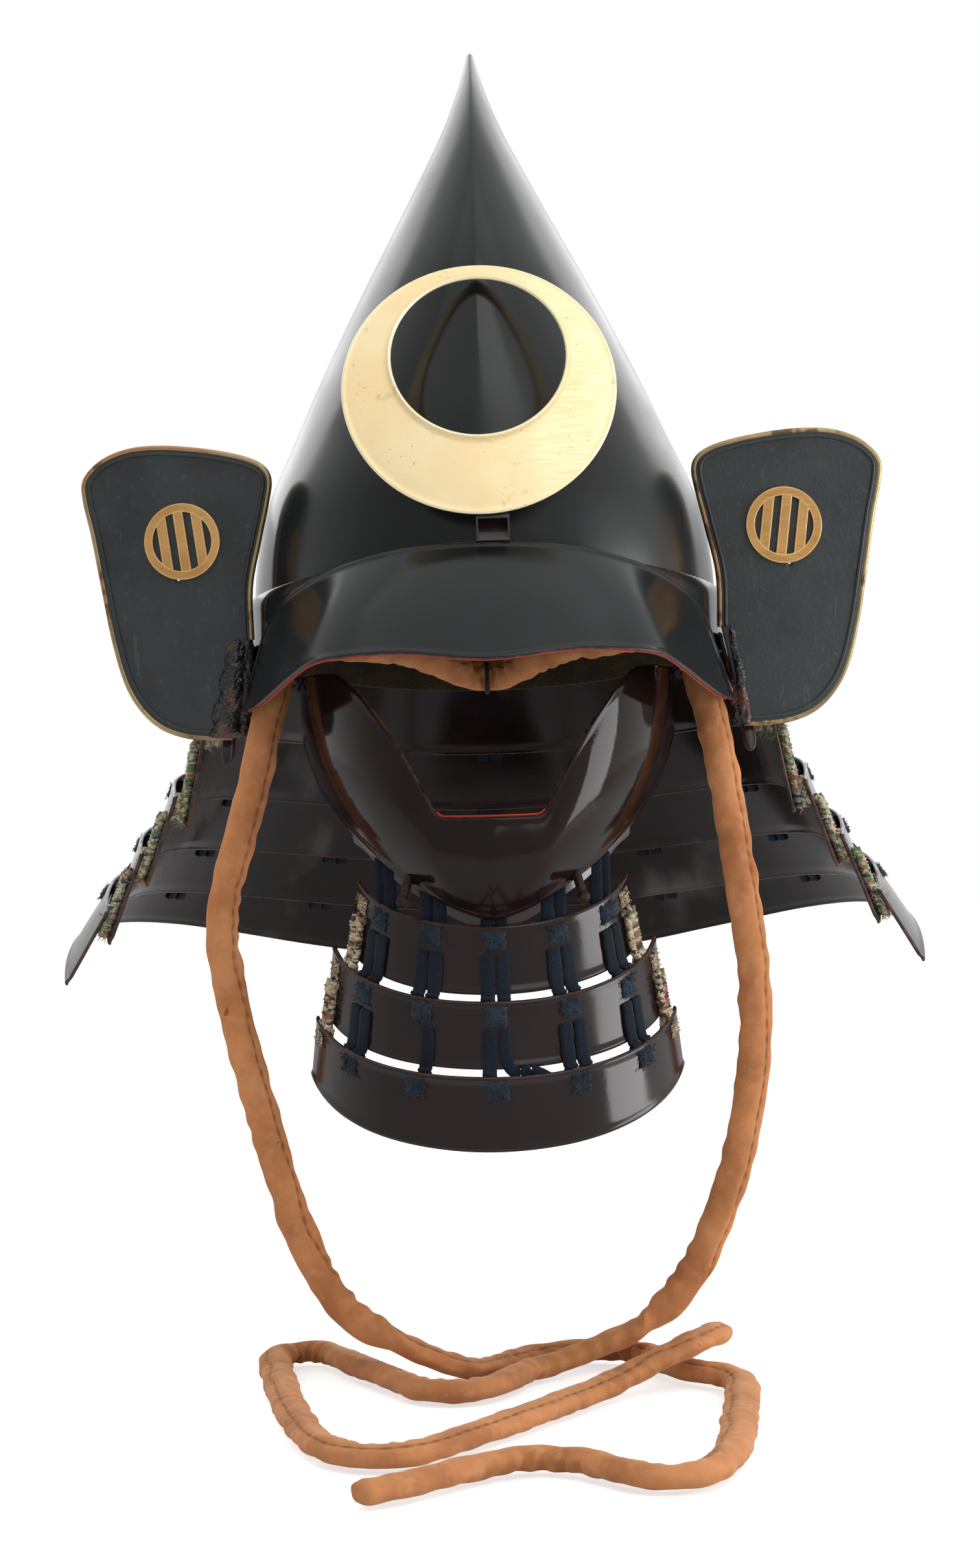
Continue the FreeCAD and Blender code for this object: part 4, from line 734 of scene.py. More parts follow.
SOCKET = lacquer(
    "socket_lacquer", (0.005, 0.005, 0.0055), (0.22, 0.05, 0.03), 0.25, 1.0, 1.2, 0.66, 0.5, 0.5, False
)
STRIP = lacquer("strip_lacquer", (0.014, 0.008, 0.0075), (0.16, 0.07, 0.04), 0.2, 0.8, 1.0, 0.72, 0.5, 0.5, False)
WOOD = speckled("tang_wood", (0.1, 0.05, 0.025), (0.22, 0.12, 0.06), 0.6, 0.0)
LEATHER = leather("facing_leather", (0.0115, 0.0155, 0.0165), (0.024, 0.03, 0.031))
CRUMPLED = leather("fold_lacquer", (0.002, 0.002, 0.0024), (0.008, 0.006, 0.006), 0.12, (0.11, 0.04, 0.028), 0.003)
INDIGO = cloth("indigo_lace", (0.0026, 0.0045, 0.0085), (0.0105, 0.018, 0.032), 0.05, 0.7)
TEAL = cloth("teal_lace", (0.004, 0.0075, 0.0115), (0.032, 0.052, 0.07), 0.1, 0.9)
TIECORD = cloth("tie_cord", (0.01, 0.009, 0.012), (0.035, 0.03, 0.03), 0.1, 0.8)
LINING = cloth("lining_cloth", (0.09, 0.055, 0.02), (0.2, 0.13, 0.055), 0.2, 0.8)
EDGING = cloth("edging_cloth", (0.016, 0.014, 0.008), (0.065, 0.05, 0.026), 0.1, 0.9)
VELVET = velvet("brown_velvet")
TAN = braid("ear_braid", [
    (0.42, 0.31, 0.18), (0.62, 0.52, 0.35), (0.05, 0.04, 0.03),
    (0.55, 0.44, 0.28), (0.34, 0.1, 0.06), (0.18, 0.21, 0.11),
])
MANY = braid("side_braid", [
    (0.03, 0.06, 0.11), (0.5, 0.42, 0.28), (0.62, 0.55, 0.4),
    (0.15, 0.21, 0.08), (0.56, 0.46, 0.3), (0.36, 0.1, 0.06),
])

# The CAD nodes that stay as they are in the scene
for material, names in (
    (IRON, ("crest_rivets", "visor_rivets", "band_rivets", "neck_guard_rivets", "chin_pegs")),
    (WOOD, ("crest_tang",)),
    (SOCKET, ("crest_socket",)),
    (STRIP, ("chin_flange",)),
    (TIECORD, ("mask_tie_left", "mask_tie_right", "cord_loop_left", "cord_loop_right", "cord_loop_back")),
):
    for name in names:
        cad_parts[name].data.materials.clear()
        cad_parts[name].data.materials.append(material)

# Velvet cord

CORD_WIDE = 7.9
CORD_THIN = 5.2
CORD_STEP = 2.0
CORD_SIDES = 32
CORD_START_TAPER = 12.0
CORD_END_TAPER = 3.0
CORD_LAID_Z = -335.0  # Below this height the cord lies flat on the ground


def velvet_cord(route, seed):
    """A flat velvet tube along its route, wrinkled where it bends; gives the mesh and its centres."""
    path = resample(nurbs_points(route), CORD_STEP)
    run = run_along(path)
    along = unit(np.gradient(path, axis=0))
    turning = np.gradient(along, axis=0) / CORD_STEP
    turning = np.stack([np.convolve(turning[:, c], np.ones(9) / 9, "same") for c in range(3)], axis=1)
    laid = np.clip((CORD_LAID_Z + 10 - path[:, 2]) / 10, 0, 1)
    two = square_to(along, np.stack([0 * laid, 1 - laid, laid], axis=1))
    for _ in range(6):
        two[1:-1] = (two[:-2] + two[1:-1] * 2 + two[2:]) / 4
    two = square_to(along, two)
    one = np.cross(two, along)
    radii = np.full(len(path), CORD_WIDE)
    shape, seams = np.ones((len(path), CORD_SIDES)), np.zeros((len(path), CORD_SIDES))
    for i, at in enumerate(run):
        lump = rough(at / 26.0, seed, 0.0)
        radii[i] *= (1 + 0.07 * lump) * mix(0.8, 1.0, min(at / CORD_START_TAPER, 1.0))
        radii[i] *= mix(0.72, 1.0, min((run[-1] - at) / CORD_END_TAPER, 1.0))
        gather = max(rough(at / 40.0, seed, 5.0) - 0.1, 0.0)
        hang = clamp((path[i][2] - CORD_LAID_Z) / 35.0)
        seam_at = mix(math.pi / 2 + 0.6, math.pi + 0.75, hang) + 0.3 * lump
        stitch = 0.5 + 0.5 * math.sin(at / 1.15)
        for k in range(CORD_SIDES):
            t = k / CORD_SIDES * CIRCLE
            cos, sin = math.cos(t), math.sin(t)
            inside = clamp(float(turning[i].dot(one[i] * cos + two[i] * sin)) * 14.0, 0.0, 0.5)
            wrinkle = rough(at / 10.0, cos * 1.1 + seed, sin * 1.1)
            slant = 2.6 * rough(at / 14.0, seed + 3.0, cos)
            ripple = math.sin(at / 1.7 + slant + 0.9 * sin)
            seam = hump((t - seam_at + math.pi) % CIRCLE - math.pi, 0, 0.17)
            creased = (0.5 * inside + 0.14 * gather) * ripple - 0.25 * inside
            shape[i, k] = 1 + 0.15 * wrinkle + creased - 0.12 * seam
            seams[i, k] = seam * (0.6 + 0.4 * stitch)
    build = Build()
    tube(build, path, radii, CORD_SIDES, CORD_THIN / CORD_WIDE, (one, two), shape=shape)
    build.values["side"] = [0.0, *seams.ravel(), 0.0]
    return build, path


def strand(name, route, node_name):
    build, path = velvet_cord(route, len(name))
    obj = build.make(name, VELVET, "helmet", "brown_velvet", [node_name])
    modifier = obj.modifiers.new("round", "SUBSURF")
    modifier.levels = modifier.render_levels = 1


held_route = [(-x, y, z) for x, y, z in CORD_HELD_HALF] + list(reversed(CORD_HELD_HALF))
strand("cord_left", CORD_LEFT_ROUTE, "chin_cord_left")
strand("cord_right", CORD_RIGHT_ROUTE, "chin_cord_right")
strand("cord_held", held_route, "held_cord")

# Bowl, band and peak

bowl_width, bowl_front, bowl_back = (eased(BOWL_SECTION_SHARES, c, 241, 7) for c in (1, 2, 3))
bowl_power = eased(BOWL_SECTION_SHARES, 4, 241, 12)


def bowl_place(turn, share, inset):
    share *= 0.93 if inset else 1.0
    width = bowl_width(share) * BOWL_HALF_WIDTH - inset
    front = bowl_front(share) * BOWL_FRONT - inset
    rear = bowl_back(share) * BOWL_BACK - inset
    middle, reach = (rear - front) / 2, (rear + front) / 2
    half = turn if turn <= math.pi else CIRCLE - turn
    side = max(width, 0.2) * max(math.sin(half), 0.0) ** bowl_power(share)
    return (side if turn <= math.pi else -side), middle - reach * math.cos(half), share * BOWL_HEIGHT


# Closer together at the front and back ridges
half_turns = [math.pi * (1 - math.cos(math.pi * i / 84)) / 2 for i in range(84)]
bowl_turns = half_turns + [math.pi + t for t in half_turns]
bowl_rows = [math.sin(i / 150 * math.pi / 2) for i in range(151)]
shell(
    "bowl_shell", BLACK, "helmet", "black_lacquer", ["bowl"],
    bowl_place, 0, BOWL_WALL, bowl_turns, bowl_rows, wrap=True,
)


def band_top(angle):
    return BAND_HEIGHT + BAND_FRONT_RISE * max(0.0, math.cos(math.radians(angle))) ** 2


def band_place(angle, v, outside):
    top = band_top(angle)
    height = mix(top, -BAND_DROP, v)
    round_off = max(0.0, 1 - (top - height) / BAND_SHOULDER) ** 2
    radius = BAND_RADIUS - (BAND_STEP - 2 * BAND_GAP) * round_off
    return around(HELMET, angle, radius if outside else BOWL_HALF_WIDTH + BAND_GAP, height)


shell(
    "band_shell", BAND, "helmet", "black_lacquer", ["rim_band"],
    band_place, True, False, spread(200, -HALF_TURN, HALF_TURN)[:-1], (30, 0.0, 1.0, 36.0),
    wrap=True, round_edge=0.8,
)

visor_top = [eased(VISOR_TOP_SHARES, c, 161, 4) for c in (1, 2)]
visor_low = [eased(VISOR_LOW_SHARES, c, 161, 8) for c in (1, 2)]


def visor_edge(columns, angle):
    height, out = (column(min(abs(angle) / VISOR_END_ANGLE, 1.0)) for column in columns)
    return BAND_RADIUS + FIT_GAP + VISOR_REACH * out, mix(-VISOR_DROP, VISOR_RISE, height)


def visor_place(angle, v, lift):
    top_radius, top_z = visor_edge(visor_top, angle)
    low_radius, low_z = visor_edge(visor_low, angle)
    bulge = VISOR_BULGE * math.sin(math.pi * v) * (1 - (angle / VISOR_END_ANGLE) ** 4)
    return around(HELMET, angle, mix(top_radius, low_radius, v) + bulge + lift, mix(top_z, low_z, v))


def visor_lift(across, down, *_):
    """A raised bead along the peak's upper edge and a low roll along its lower one."""
    return hump(down, 1.6, 1.1) * 0.9 + hump(down[:, -1:] - down, 1.4, 1.3) * 0.5


shell(
    "peak_shell", PEAK, "helmet", "black_lacquer", ["visor"],
    visor_place, VISOR_THICKNESS, 0, (110, -VISOR_END_ANGLE, VISOR_END_ANGLE, 330.0), (46, 0.0, 1.0, 62.0),
    round_edge=0.9, lift=visor_lift,
)
path = [visor_place(a, 1.0, -0.1) + Vector((0, 0.5, -0.1)) for a in spread(160, -62.0, 62.0)]
rod("peak_red_line", RED, "helmet", "black_lacquer", (), path, 0.42, 6)

# Crest

TILT = math.radians(CREST_LEAN)
CREST_OUT = SOCKET_DEPTH + 2 * FIT_GAP + CREST_THICKNESS + CREST_RADIUS**2 / (2 * CREST_DISH_RADIUS)
CREST_UP = (CREST_CENTRE_Z - SOCKET_TOP_Z) / math.cos(TILT) - CREST_OUT * math.tan(TILT)


def crest_place(turn, share, lift):
    """A place on the dished crest, share from its hole to its outline, leaned back with its socket."""
    radius = mix(CREST_HOLE_RADIUS, CREST_RADIUS, share)
    x, z = radius * math.sin(turn), mix(CREST_HOLE_RISE, 0.0, share) + radius * math.cos(turn)
    out = CREST_OUT - (x * x + z * z) / (2 * CREST_DISH_RADIUS) + lift
    up = CREST_UP + z
    y = -out * math.cos(TILT) + up * math.sin(TILT) - BOWL_FRONT + FIT_GAP * 2
    return Vector((x, y, out * math.sin(TILT) + up * math.cos(TILT) + SOCKET_TOP_Z))


def lip_lift(across, down, *_):
    """A lip round the hole and a low rim round the outline."""
    rest = down[:, -1:] - down
    return hump(np.maximum(down, 0.6), 0.6, 0.8) * 0.8 + hump(np.maximum(rest, 0.5), 0.5, 0.7) * 0.25


shell(
    "crest_disc", GOLD, "crest", "gilt_brass", ["crest_ring", "crest_lip"],
    crest_place, 0, -CREST_THICKNESS, spread(193, 0.0, CIRCLE)[:-1], (16, 0.0, 1.0, 22.0),
    wrap=True, round_edge=0.6, lift=lip_lift,
)

# Neck guard


def lame_front(k):
    radius = NECK_RADIUS * LAME_LOW_SHARES[k] + HELMET_EXTRA
    return math.degrees(math.acos((HELMET_CENTRE_Y - NECK_FRONT_Y) / radius))


def lame_low(k, angle):
    turn = HALF_TURN - abs(angle)
    side_turn = HALF_TURN - NECK_SIDE_ANGLE
    rear, side, front = LAME_BACK_SHARES[k], LAME_SIDE_SHARES[k], LAME_FRONT_SHARES[k]
    if turn < side_turn:
        share = mix(rear, side, (1 - math.cos(math.pi * turn / side_turn)) / 2)
    else:
        share = mix(side, front, ((turn - side_turn) / (HALF_TURN - side_turn - lame_front(k))) ** 2)
    return -NECK_DROP * share


def lame_top(k, angle):
    if k == 0:
        return -NECK_TOP_GAP
    return lame_low(k - 1, max(abs(angle), lame_front(k - 1))) + LAME_OVERLAP


def lame_radii(k):
    top = BAND_RADIUS + FIT_GAP if k == 0 else NECK_RADIUS * LAME_TOP_SHARES[k]
    return top, NECK_RADIUS * LAME_LOW_SHARES[k]


def folded(angle):
    return angle if angle <= HALF_TURN else angle - 2 * HALF_TURN


def lame_place(k, angle, v, lift):
    angle = folded(angle)
    top_radius, low_radius = lame_radii(k)
    height = mix(lame_top(k, angle), lame_low(k, angle), v)
    return around(HELMET, angle, mix(top_radius, low_radius, v) + lift, height)


def on_plate(place, k, wall=0.0):
    """The places on plate k, raised by a wall."""
    return lambda angle, v, lift: place(k, angle, v, lift + wall)


def uneven(across, down, wide, tall, layer):
    """Noise over a surface, with lumps so wide and tall."""
    rows = zip(across, down)
    return np.array([[rough(a / wide, d / tall, layer) for a, d in zip(*row)] for row in rows])


def lame_lift(across, down, *_):
    """A rolled lower edge and the faint unevenness of hand-lacquered iron."""
    edges = hump(down[:, -1:] - down, 1.3, 1.2) * 0.7 + hump(down, 1.2, 1.2) * 0.4
    return edges + 0.25 * uneven(across, down, 40.0, 30.0, 7.0)


def lame_mesh(build, k, front):
    length = math.radians(2 * (HALF_TURN - front)) * lame_radii(k)[1]
    across = (130, front, 2 * HALF_TURN - front, length)
    plate(build, on_plate(lame_place, k), LAME_THICKNESS, 0, across, (22, 0.0, 1.0, 50.0), lift=lame_lift)


# Wings

SIDES = ((-1, "left"), (1, "right"))


def wing_at(x, z, lift, side):
    """A place at this x and height on a wing's bent face, lift in front of its back."""
    axis_y = WING_FOLD_Y + WING_CURVE_RADIUS
    radius = WING_CURVE_RADIUS + lift
    return Vector((side * x, axis_y - math.sqrt(radius**2 - (x - WING_FOLD_X) ** 2), z))


def wing_line(inset):
    """The wing's free edge as a fine line, drawn in by inset."""
    points = [
        Vector((WING_FOLD_X + out * WING_WIDTH, 0, WING_FOOT_Z + up * WING_HEIGHT))
        for out, up in WING_OUTLINE_SHARES
    ]
    line = resample(spline_through(points), 2.0)
    along = np.gradient(line, axis=0)
    return line + unit(np.stack([along[:, 2], 0 * along[:, 0], -along[:, 0]], axis=1)) * inset


def wing_sheet(build, low, high, side, crumple=0.0):
    """A bent sheet with the wing's outline, made of lines from its middle to its edge and fold."""
    line = wing_line(WING_RIM_WIDTH * 0.6)
    start, end = line[0], line[-1]
    steps = max(int(np.linalg.norm(start - end) / 2.0), 2)
    ring = np.array(list(line) + [end + (start - end) * i / steps for i in range(1, steps)])
    centre = np.array([WING_FOLD_X + 0.42 * WING_WIDTH, 0, WING_FOOT_Z + 0.55 * WING_HEIGHT])
    shares = [1.0 - s for s in edge_list(22, 0.0, 1.0, 55.0, 0.8)[:-4]] + [0.02]

    def at(i, share, lift):
        x, _, z = centre + (ring[i] - centre) * share
        return wing_at(x, z, lift + crumple * rough(x / 9.0, 3.0, z / 9.0), side)

    plate(build, at, high, low, list(range(len(ring))), shares, wrap=True, round_edge=0.8, flip=side < 0)


BADGE_LEAN = 0.13
BADGE_RING = 4.3
BADGE_BAR = 5.0
BADGE_STEP = 8.5


def badge_mesh(build, side):
    """A ring round three upright bars, with softened edges."""
    inner = BADGE_RADIUS - BADGE_RING

    def at(x, z, lift):
        x += WING_FOLD_X + BADGE_OUT_SHARE * WING_WIDTH
        return wing_at(x, z + WING_FOOT_Z + BADGE_UP_SHARE * WING_HEIGHT, WING_FACE + lift, side)

    def ring_at(turn, share, lift):
        radius = mix(inner, BADGE_RADIUS, share)
        return at(radius * math.sin(turn), radius * math.cos(turn), lift)

    def bar_at(x, share, lift):
        reach = math.sqrt(max((inner + 1.2) ** 2 - x**2, 0.0))
        up = mix(-reach, reach, share)
        return at(x + BADGE_LEAN * up, up - BADGE_LEAN * x, lift)

    turns, widths = spread(97, 0.0, CIRCLE)[:-1], (4, 0.0, 1.0, BADGE_RING)
    plate(build, ring_at, BADGE_THICKNESS, 0.1, turns, widths, wrap=True, round_edge=0.15, flip=side < 0)
    for middle in (-BADGE_STEP, 0.0, BADGE_STEP):
        across = (6, middle - BADGE_BAR / 2, middle + BADGE_BAR / 2, BADGE_BAR)
        up = (20, 0.0, 1.0, 2 * inner)
        plate(build, bar_at, BADGE_THICKNESS - 0.01, 0.1, across, up, round_edge=0.12, flip=side < 0)


for side, name in SIDES:
    build = Build()
    wing_sheet(build, LAME_THICKNESS * 0.9, WING_FACE, side, 0.12)
    build.make("wing_face_" + name, LEATHER, "helmet", "facing_leather", ["turnback_facing_" + name])
    path = [wing_at(p[0], p[2], 1.5, side) for p in wing_line(1.3)]
    rod("wing_rim_" + name, RIM, "helmet", "aged_brass", ["turnback_rim_" + name], path, 1.5, 10, 1.3)
    path = [wing_at(p[0], p[2], WING_FACE, side) for p in wing_line(WING_RIM_WIDTH + 1.0)]
    rod("wing_bead_" + name, LEATHER, "helmet", "facing_leather", (), path, 0.95, 8, 0.8)
    build = Build()
    badge_mesh(build, side)
    build.make("wing_badge_" + name, BADGE, "helmet", "gilt_brass", ["badge_" + name])


def fold_roll(build, side, wide, seed):
    """The crumpled lacquered leather gathered over the lower part of a wing's fold."""
    low = wing_line(0.0)[-1]
    path, radii, back, shape = [], [], [], []
    for share in spread(90, 0.0, 1.0):
        z = mix(WING_FOOT_Z + 1.0, WING_FOOT_Z + 0.335 * WING_HEIGHT, share)
        drift = rough(z / 14.0, seed, 1.0)
        radius = wide * (1.0 - 0.42 * share + 0.2 * drift)
        x = low[0] + 0.5 * radius - 6.0 * share + 0.8 * drift
        path.append(wing_at(x, z, WING_FACE, side) + Vector((0, -0.4, 0)))
        radii.append(radius * min(1.0, 0.55 + 8 * share, 0.35 + 8 * (1 - share)))
        x = low[0] + wide * 0.8 * (0.35 - 0.6 * share) + 0.8 * drift
        back.append(wing_at(x, z, WING_FACE, side) + Vector((-side * (wide * 0.7 + 1.0), 4.1, 0)))
        row = []
        for turn in np.arange(40) / 40 * CIRCLE:
            at = Vector((path[-1].z / 4.2, seed + 1.3 * math.cos(turn), 1.3 * math.sin(turn)))
            fine = 0.12 * noise.noise(at * 4.1) - 0.22 * abs(noise.noise(at * 2.2))
            row.append(0.95 + 0.3 * noise.noise(at) + fine)
        shape.append(row)
    axes = [np.tile(axis, (len(path), 1)) for axis in ((1.0, 0.0, 0.0), (0.0, 1.0, 0.0))]
    radii, shape = np.array(radii), np.array(shape)
    tube(build, path, radii, 40, 0.55, axes, shape=shape)
    tube(build, back, radii * 0.3 + 3.2, 16, 0.6, axes, shape=shape[:, :32:2] ** 0.5)


def tongue(build, side):
    """The small rounded tongue that shows below a wing."""

    def at(u, v, lift):
        half = 3.2 * math.sqrt(max(1 - max((v - 0.62) / 0.38, 0.0) ** 2, 0.004))
        curl = 1.4 * u * u + 2.2 * v * v
        place = wing_at(WING_FOLD_X + 12.0 + u * half + 0.8 * v, WING_FOOT_Z + 3.0 - 15.0 * v, lift, side)
        return place + Vector((0, 2.4 + 0.4 * curl - 6.0 * v, 0))

    plate(build, at, 0.7, -0.7, (16, -1, 1, 6.4), (20, 0, 1, 15.0), round_edge=0.7, flip=side < 0)


for (side, name), wide in zip(SIDES, (7.4, 2.8)):
    build = Build()
    fold_roll(build, side, wide, 31.0 + 7.0 * side)
    build.make("wing_fold_" + name, CRUMPLED, "helmet", "facing_leather")

build = Build()
lame_mesh(build, 0, lame_front(0) - 3.0)
for side in (-1, 1):
    wing_sheet(build, 0.0, LAME_THICKNESS * 0.95, side)
    tongue(build, side)
build.make("neck_plate_1", (PLATE, INNER), "helmet", "black_lacquer", ["neck_lame_1"])
for k in range(1, 5):
    build = Build()
    lame_mesh(build, k, lame_front(k))
    n = k + 1
    build.make(f"neck_plate_{n}", (PLATE, INNER), f"lame_{n}", "brown_lacquer", [f"neck_lame_{n}"])

# Half mask

mask_top = eased(MASK_TOP_SHARES, 1, 401, 3)
mask_bottom = eased(MASK_LOW_SHARES, 1, 401, 14)


def mask_place(angle, v, lift):
    chin = math.cos(math.radians(angle * MASK_CHIN_SHARE)) ** 2
    swell = MASK_BULGE * math.sin(math.pi * v) - MASK_TUCK * v**3
    height = -MASK_DROP * mix(mask_top(abs(angle)), mask_bottom(abs(angle)), v)
    return around(MASK, angle, MASK_RADIUS + chin * swell + lift, height)


def mask_lift(across, down, us, vs):
    """Rolled edges, and upright flutes down the chin."""
    angle, v = np.abs(us)[:, None], np.array(vs)
    flutes = 1.5 * hump(angle, 0, 3.2) - 0.8 * hump(angle, 6.5, 2.6) + 0.7 * hump(angle, 12.0, 2.8)
    rolls = 0.5 * hump(down, 1.4, 1.0) + 0.6 * hump(down[:, -1:] - down, 1.5, 1.1)
    return hump(angle, 0, 17.0, 4) * v * (1 - v) * 1.6 * flutes + rolls


shell(
    "mask_shell", (FACE, INNER), "mask", "brown_lacquer", ["chin_guard"],
    mask_place, 0, -MASK_THICKNESS, (220, -MASK_END_ANGLE, MASK_END_ANGLE, 380.0), (34, 0.0, 1.0, 50.0),
    round_edge=1.1, lift=mask_lift,
)
path = [mask_place(a, 0.0, -MASK_THICKNESS * 0.9) + Vector((0, 0, 0.3)) for a in spread(40, -16.0, 16.0)]
rod("mask_red_line", RED, "mask", "brown_lacquer", (), path, 0.6, 6)

# Throat guard


def throat_height(middle_share, end_share, k, angle):
    return -THROAT_DROP * mix(middle_share, end_share, (angle / THROAT_END_ANGLES[k]) ** 2)


def throat_place(k, angle, v, lift):
    top = throat_height(THROAT_TOP_MID_SHARES[k], THROAT_TOP_END_SHARES[k], k, angle)
    low = throat_height(THROAT_LOW_MID_SHARES[k], THROAT_LOW_END_SHARES[k], k, angle)
    radius = THROAT_RADIUS * mix(THROAT_TOP_SHARES[k], THROAT_LOW_SHARES[k], v)
    return around(THROAT, angle, radius + lift, mix(top, low, v))


for k, end in enumerate(THROAT_END_ANGLES):
    n = k + 1
    shell(
        f"throat_plate_{n}", (PLATE, INNER), f"throat_{n}", "brown_lacquer", [f"throat_lame_{n}"],
        on_plate(throat_place, k), 0, -THROAT_THICKNESS, (90, -end, end, 220.0), (20, 0.0, 1.0, 34.0),
        round_edge=0.9, lift=lame_lift,
    )

# Lacing

LACE_PITCH = 7.6
LACE_BROAD = 6.4
NECK_BROAD = 6.2
LACE_SIDES = 22
BRAID_TURN = 7.5
FRAY_RADII = [0.2, 0.17, 0.07]


def strip_axes(points, across, step):
    """An even path through points, with the directions of its width and face, and its run."""
    path = resample(spline_through(points, 8), step)
    along = unit(np.gradient(path, axis=0))
    one = square_to(along, np.array(across, float))
    return path, (one, np.cross(one, along)), run_along(path)


def lace_strip(build, points, across, wide, thick):
    """A flat ribbed braid along points; across gives the direction of its width."""
    path, axes, run = strip_axes(points, across, 0.42)
    t = np.arange(LACE_SIDES) / LACE_SIDES * CIRCLE
    cos, sin = np.cos(t), np.sin(t)
    outline = (np.abs(cos) ** 3 + np.abs(sin) ** 3) ** (-1 / 3)
    weave = np.sin((run[:, None] + 1.2 * np.abs(cos)) / 0.9 * CIRCLE) * 0.05 * np.abs(sin)
    ridges = 0.2 * np.cos(cos * 2.5 * CIRCLE) * np.abs(sin)
    wander = np.array([rough(r / 5.0, wide, points[0][0] / 7.0) for r in run]) * 0.12
    shape = outline * (1 + weave + ridges + wander[:, None])
    tube(build, path, wide / 2, LACE_SIDES, thick / wide, axes, shape=shape)


def braid_strip(build, points, across, wide, thick, seed, strands=5, frays=1.5, length=1.5):
    """A loose braid of coloured strands along points."""
    rng = random.Random(seed)
    path, (one, two), run = strip_axes(points, across, 0.7)
    for s in range(strands):
        phase = s / strands * CIRCLE
        turn = run / BRAID_TURN * CIRCLE
        swing = np.sin(turn + phase) * (wide / 2 - 0.7)
        rise = np.sin(2 * turn + 2 * phase + 0.8) * thick / 2
        wobble = np.array([[rough(r / 3.0, seed + c * 9.0, s * 5.0) for c in range(2)] for r in run])
        line = path + one * (swing + 0.35 * wobble[:, 0])[:, None] + two * (rise + 0.3 * wobble[:, 1])[:, None]
        first = len(build.points)
        tube(build, line, (0.95 + 0.18 * np.sin(run / 1.7 * CIRCLE + phase)) * 1.25, 6)
        change = rng.uniform(0, 50)
        for i in range(first, len(build.points)):
            value = rough((i - first) // 6 * 0.7 / 5.0, change, s * 3.0)
            build.values["tint"][i] = clamp(0.5 + 0.95 * value, 0.0, 0.999)
    for _ in range(int(run[-1] * frays)):
        i = rng.randrange(len(path))
        start = path[i] + one[i] * rng.uniform(-0.5, 0.5) * wide
        reach = np.array([rng.uniform(-length, length) for _ in range(3)]) + (0, 0, -0.25 * length)
        bent = start + reach * 0.5 + (0, -0.3, 0.2)
        tube(build, [start, bent, start + reach], FRAY_RADII, 3, tint=rng.random())


def tuft(build, centre, lean, count, reach, seed, tints=(0.0, 1.0)):
    """Loose fibres that stand out from a centre, leaning one way."""
    rng = random.Random(seed)
    for _ in range(count):
        way = Vector([rng.uniform(-1, 1) for _ in range(3)]).normalized() + Vector(lean)
        start = Vector(centre) + Vector([rng.gauss(0, 0.28 * reach) for _ in range(3)])
        end = start + way * rng.uniform(0.4, 1.0) * reach * 0.7
        bent = (start + end) / 2 + Vector([rng.uniform(-0.1, 0.1) * reach for _ in range(3)])
        tube(build, [start, bent, end], [0.22, 0.18, 0.07], 3, tint=rng.uniform(*tints))


def lace_points(upper, lower, angle, start, tuck, wall, slack, thick=LACE_THICKNESS):
    """Points of a lace from a hole in one plate to behind the top of the next."""
    off = LACE_SEAT + thick / 2
    top = [upper(angle, v, wall + off) for v in (start, mix(start, 1.0, 0.5), 1.0)]
    low = [lower(angle, v, -off) for v in (0.02, tuck)]
    middle = (top[-1] + low[0]) / 2 + (upper(angle, 1.0, wall + slack) - upper(angle, 1.0, wall))
    across = upper(angle + 0.5, 0.9, 0) - upper(angle - 0.5, 0.9, 0)
    hole = upper(angle, start, wall - 0.6)
    return [hole, *top[:2], top[2] + (middle - top[2]) * 0.25, middle, *low], across


def joined(build, name, material, replaces=()):
    """Makes the lacing between the two plates it joins, on no body, with its placement baked into its points."""
    obj = build.make(name, material, None, "indigo_lace", replaces)
    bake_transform(obj)


def columns(count, spacing):
    return [(i - (count - 1) / 2) * spacing for i in range(count)]


def paired(values):
    """Columns grouped with their mirror images."""
    count = len(values)
    return [sorted({values[i], values[count - 1 - i]}) for i in range((count + 1) // 2)]


neck_columns = columns(NECK_COLUMN_COUNT, NECK_COLUMN_ANGLE)
for k in range(4):
    upper, lower = on_plate(lame_place, k), on_plate(lame_place, k + 1)
    radius = lame_radii(k + 1)[0]
    apart = math.degrees(LACE_PITCH / 2 / radius)
    for n, group in enumerate(paired(neck_columns)):
        build = Build()
        for column in group:
            middle = folded(HALF_TURN + column)
            tuck = (LAME_OVERLAP + 3.2) / (lame_top(k + 1, middle) - lame_low(k + 1, middle))
            for side in (-1, 1):
                angle = HALF_TURN + column + side * apart
                given = lace_points(upper, lower, angle, LACE_START_SHARE, tuck, LAME_THICKNESS, 0.2)
                lace_strip(build, *given, NECK_BROAD, LACE_THICKNESS * 1.3)
        joined(build, f"neck_lace_{k + 1}_{n + 1}", INDIGO, [f"neck_laces_{k + 1}"])
    build = Build()
    front = max(lame_front(k), lame_front(k + 1))
    for side, middle in ((1, front), (-1, 2 * HALF_TURN - front)):
        angle = middle + side * math.degrees(5.5 / radius)
        points, across = lace_points(upper, lower, angle, 0.3, 0.3, LAME_THICKNESS, 2.5, 2.6)
        braid_strip(build, points, across, 8.5, 2.6, 300 + 10 * k + side, 6, 7.0, 3.2)
        tuft(build, points[3], (0, -0.3, -0.4), 60, 5.0, 340 + 10 * k + side, (0.17, 0.5))
        if k == 0 and points[3][0] > 0:
            tuft(build, points[-1], (0.5, -0.4, 0.6), 160, 9.0, 360, (0.51, 0.66))
    joined(build, f"neck_ear_{k + 1}", MANY)

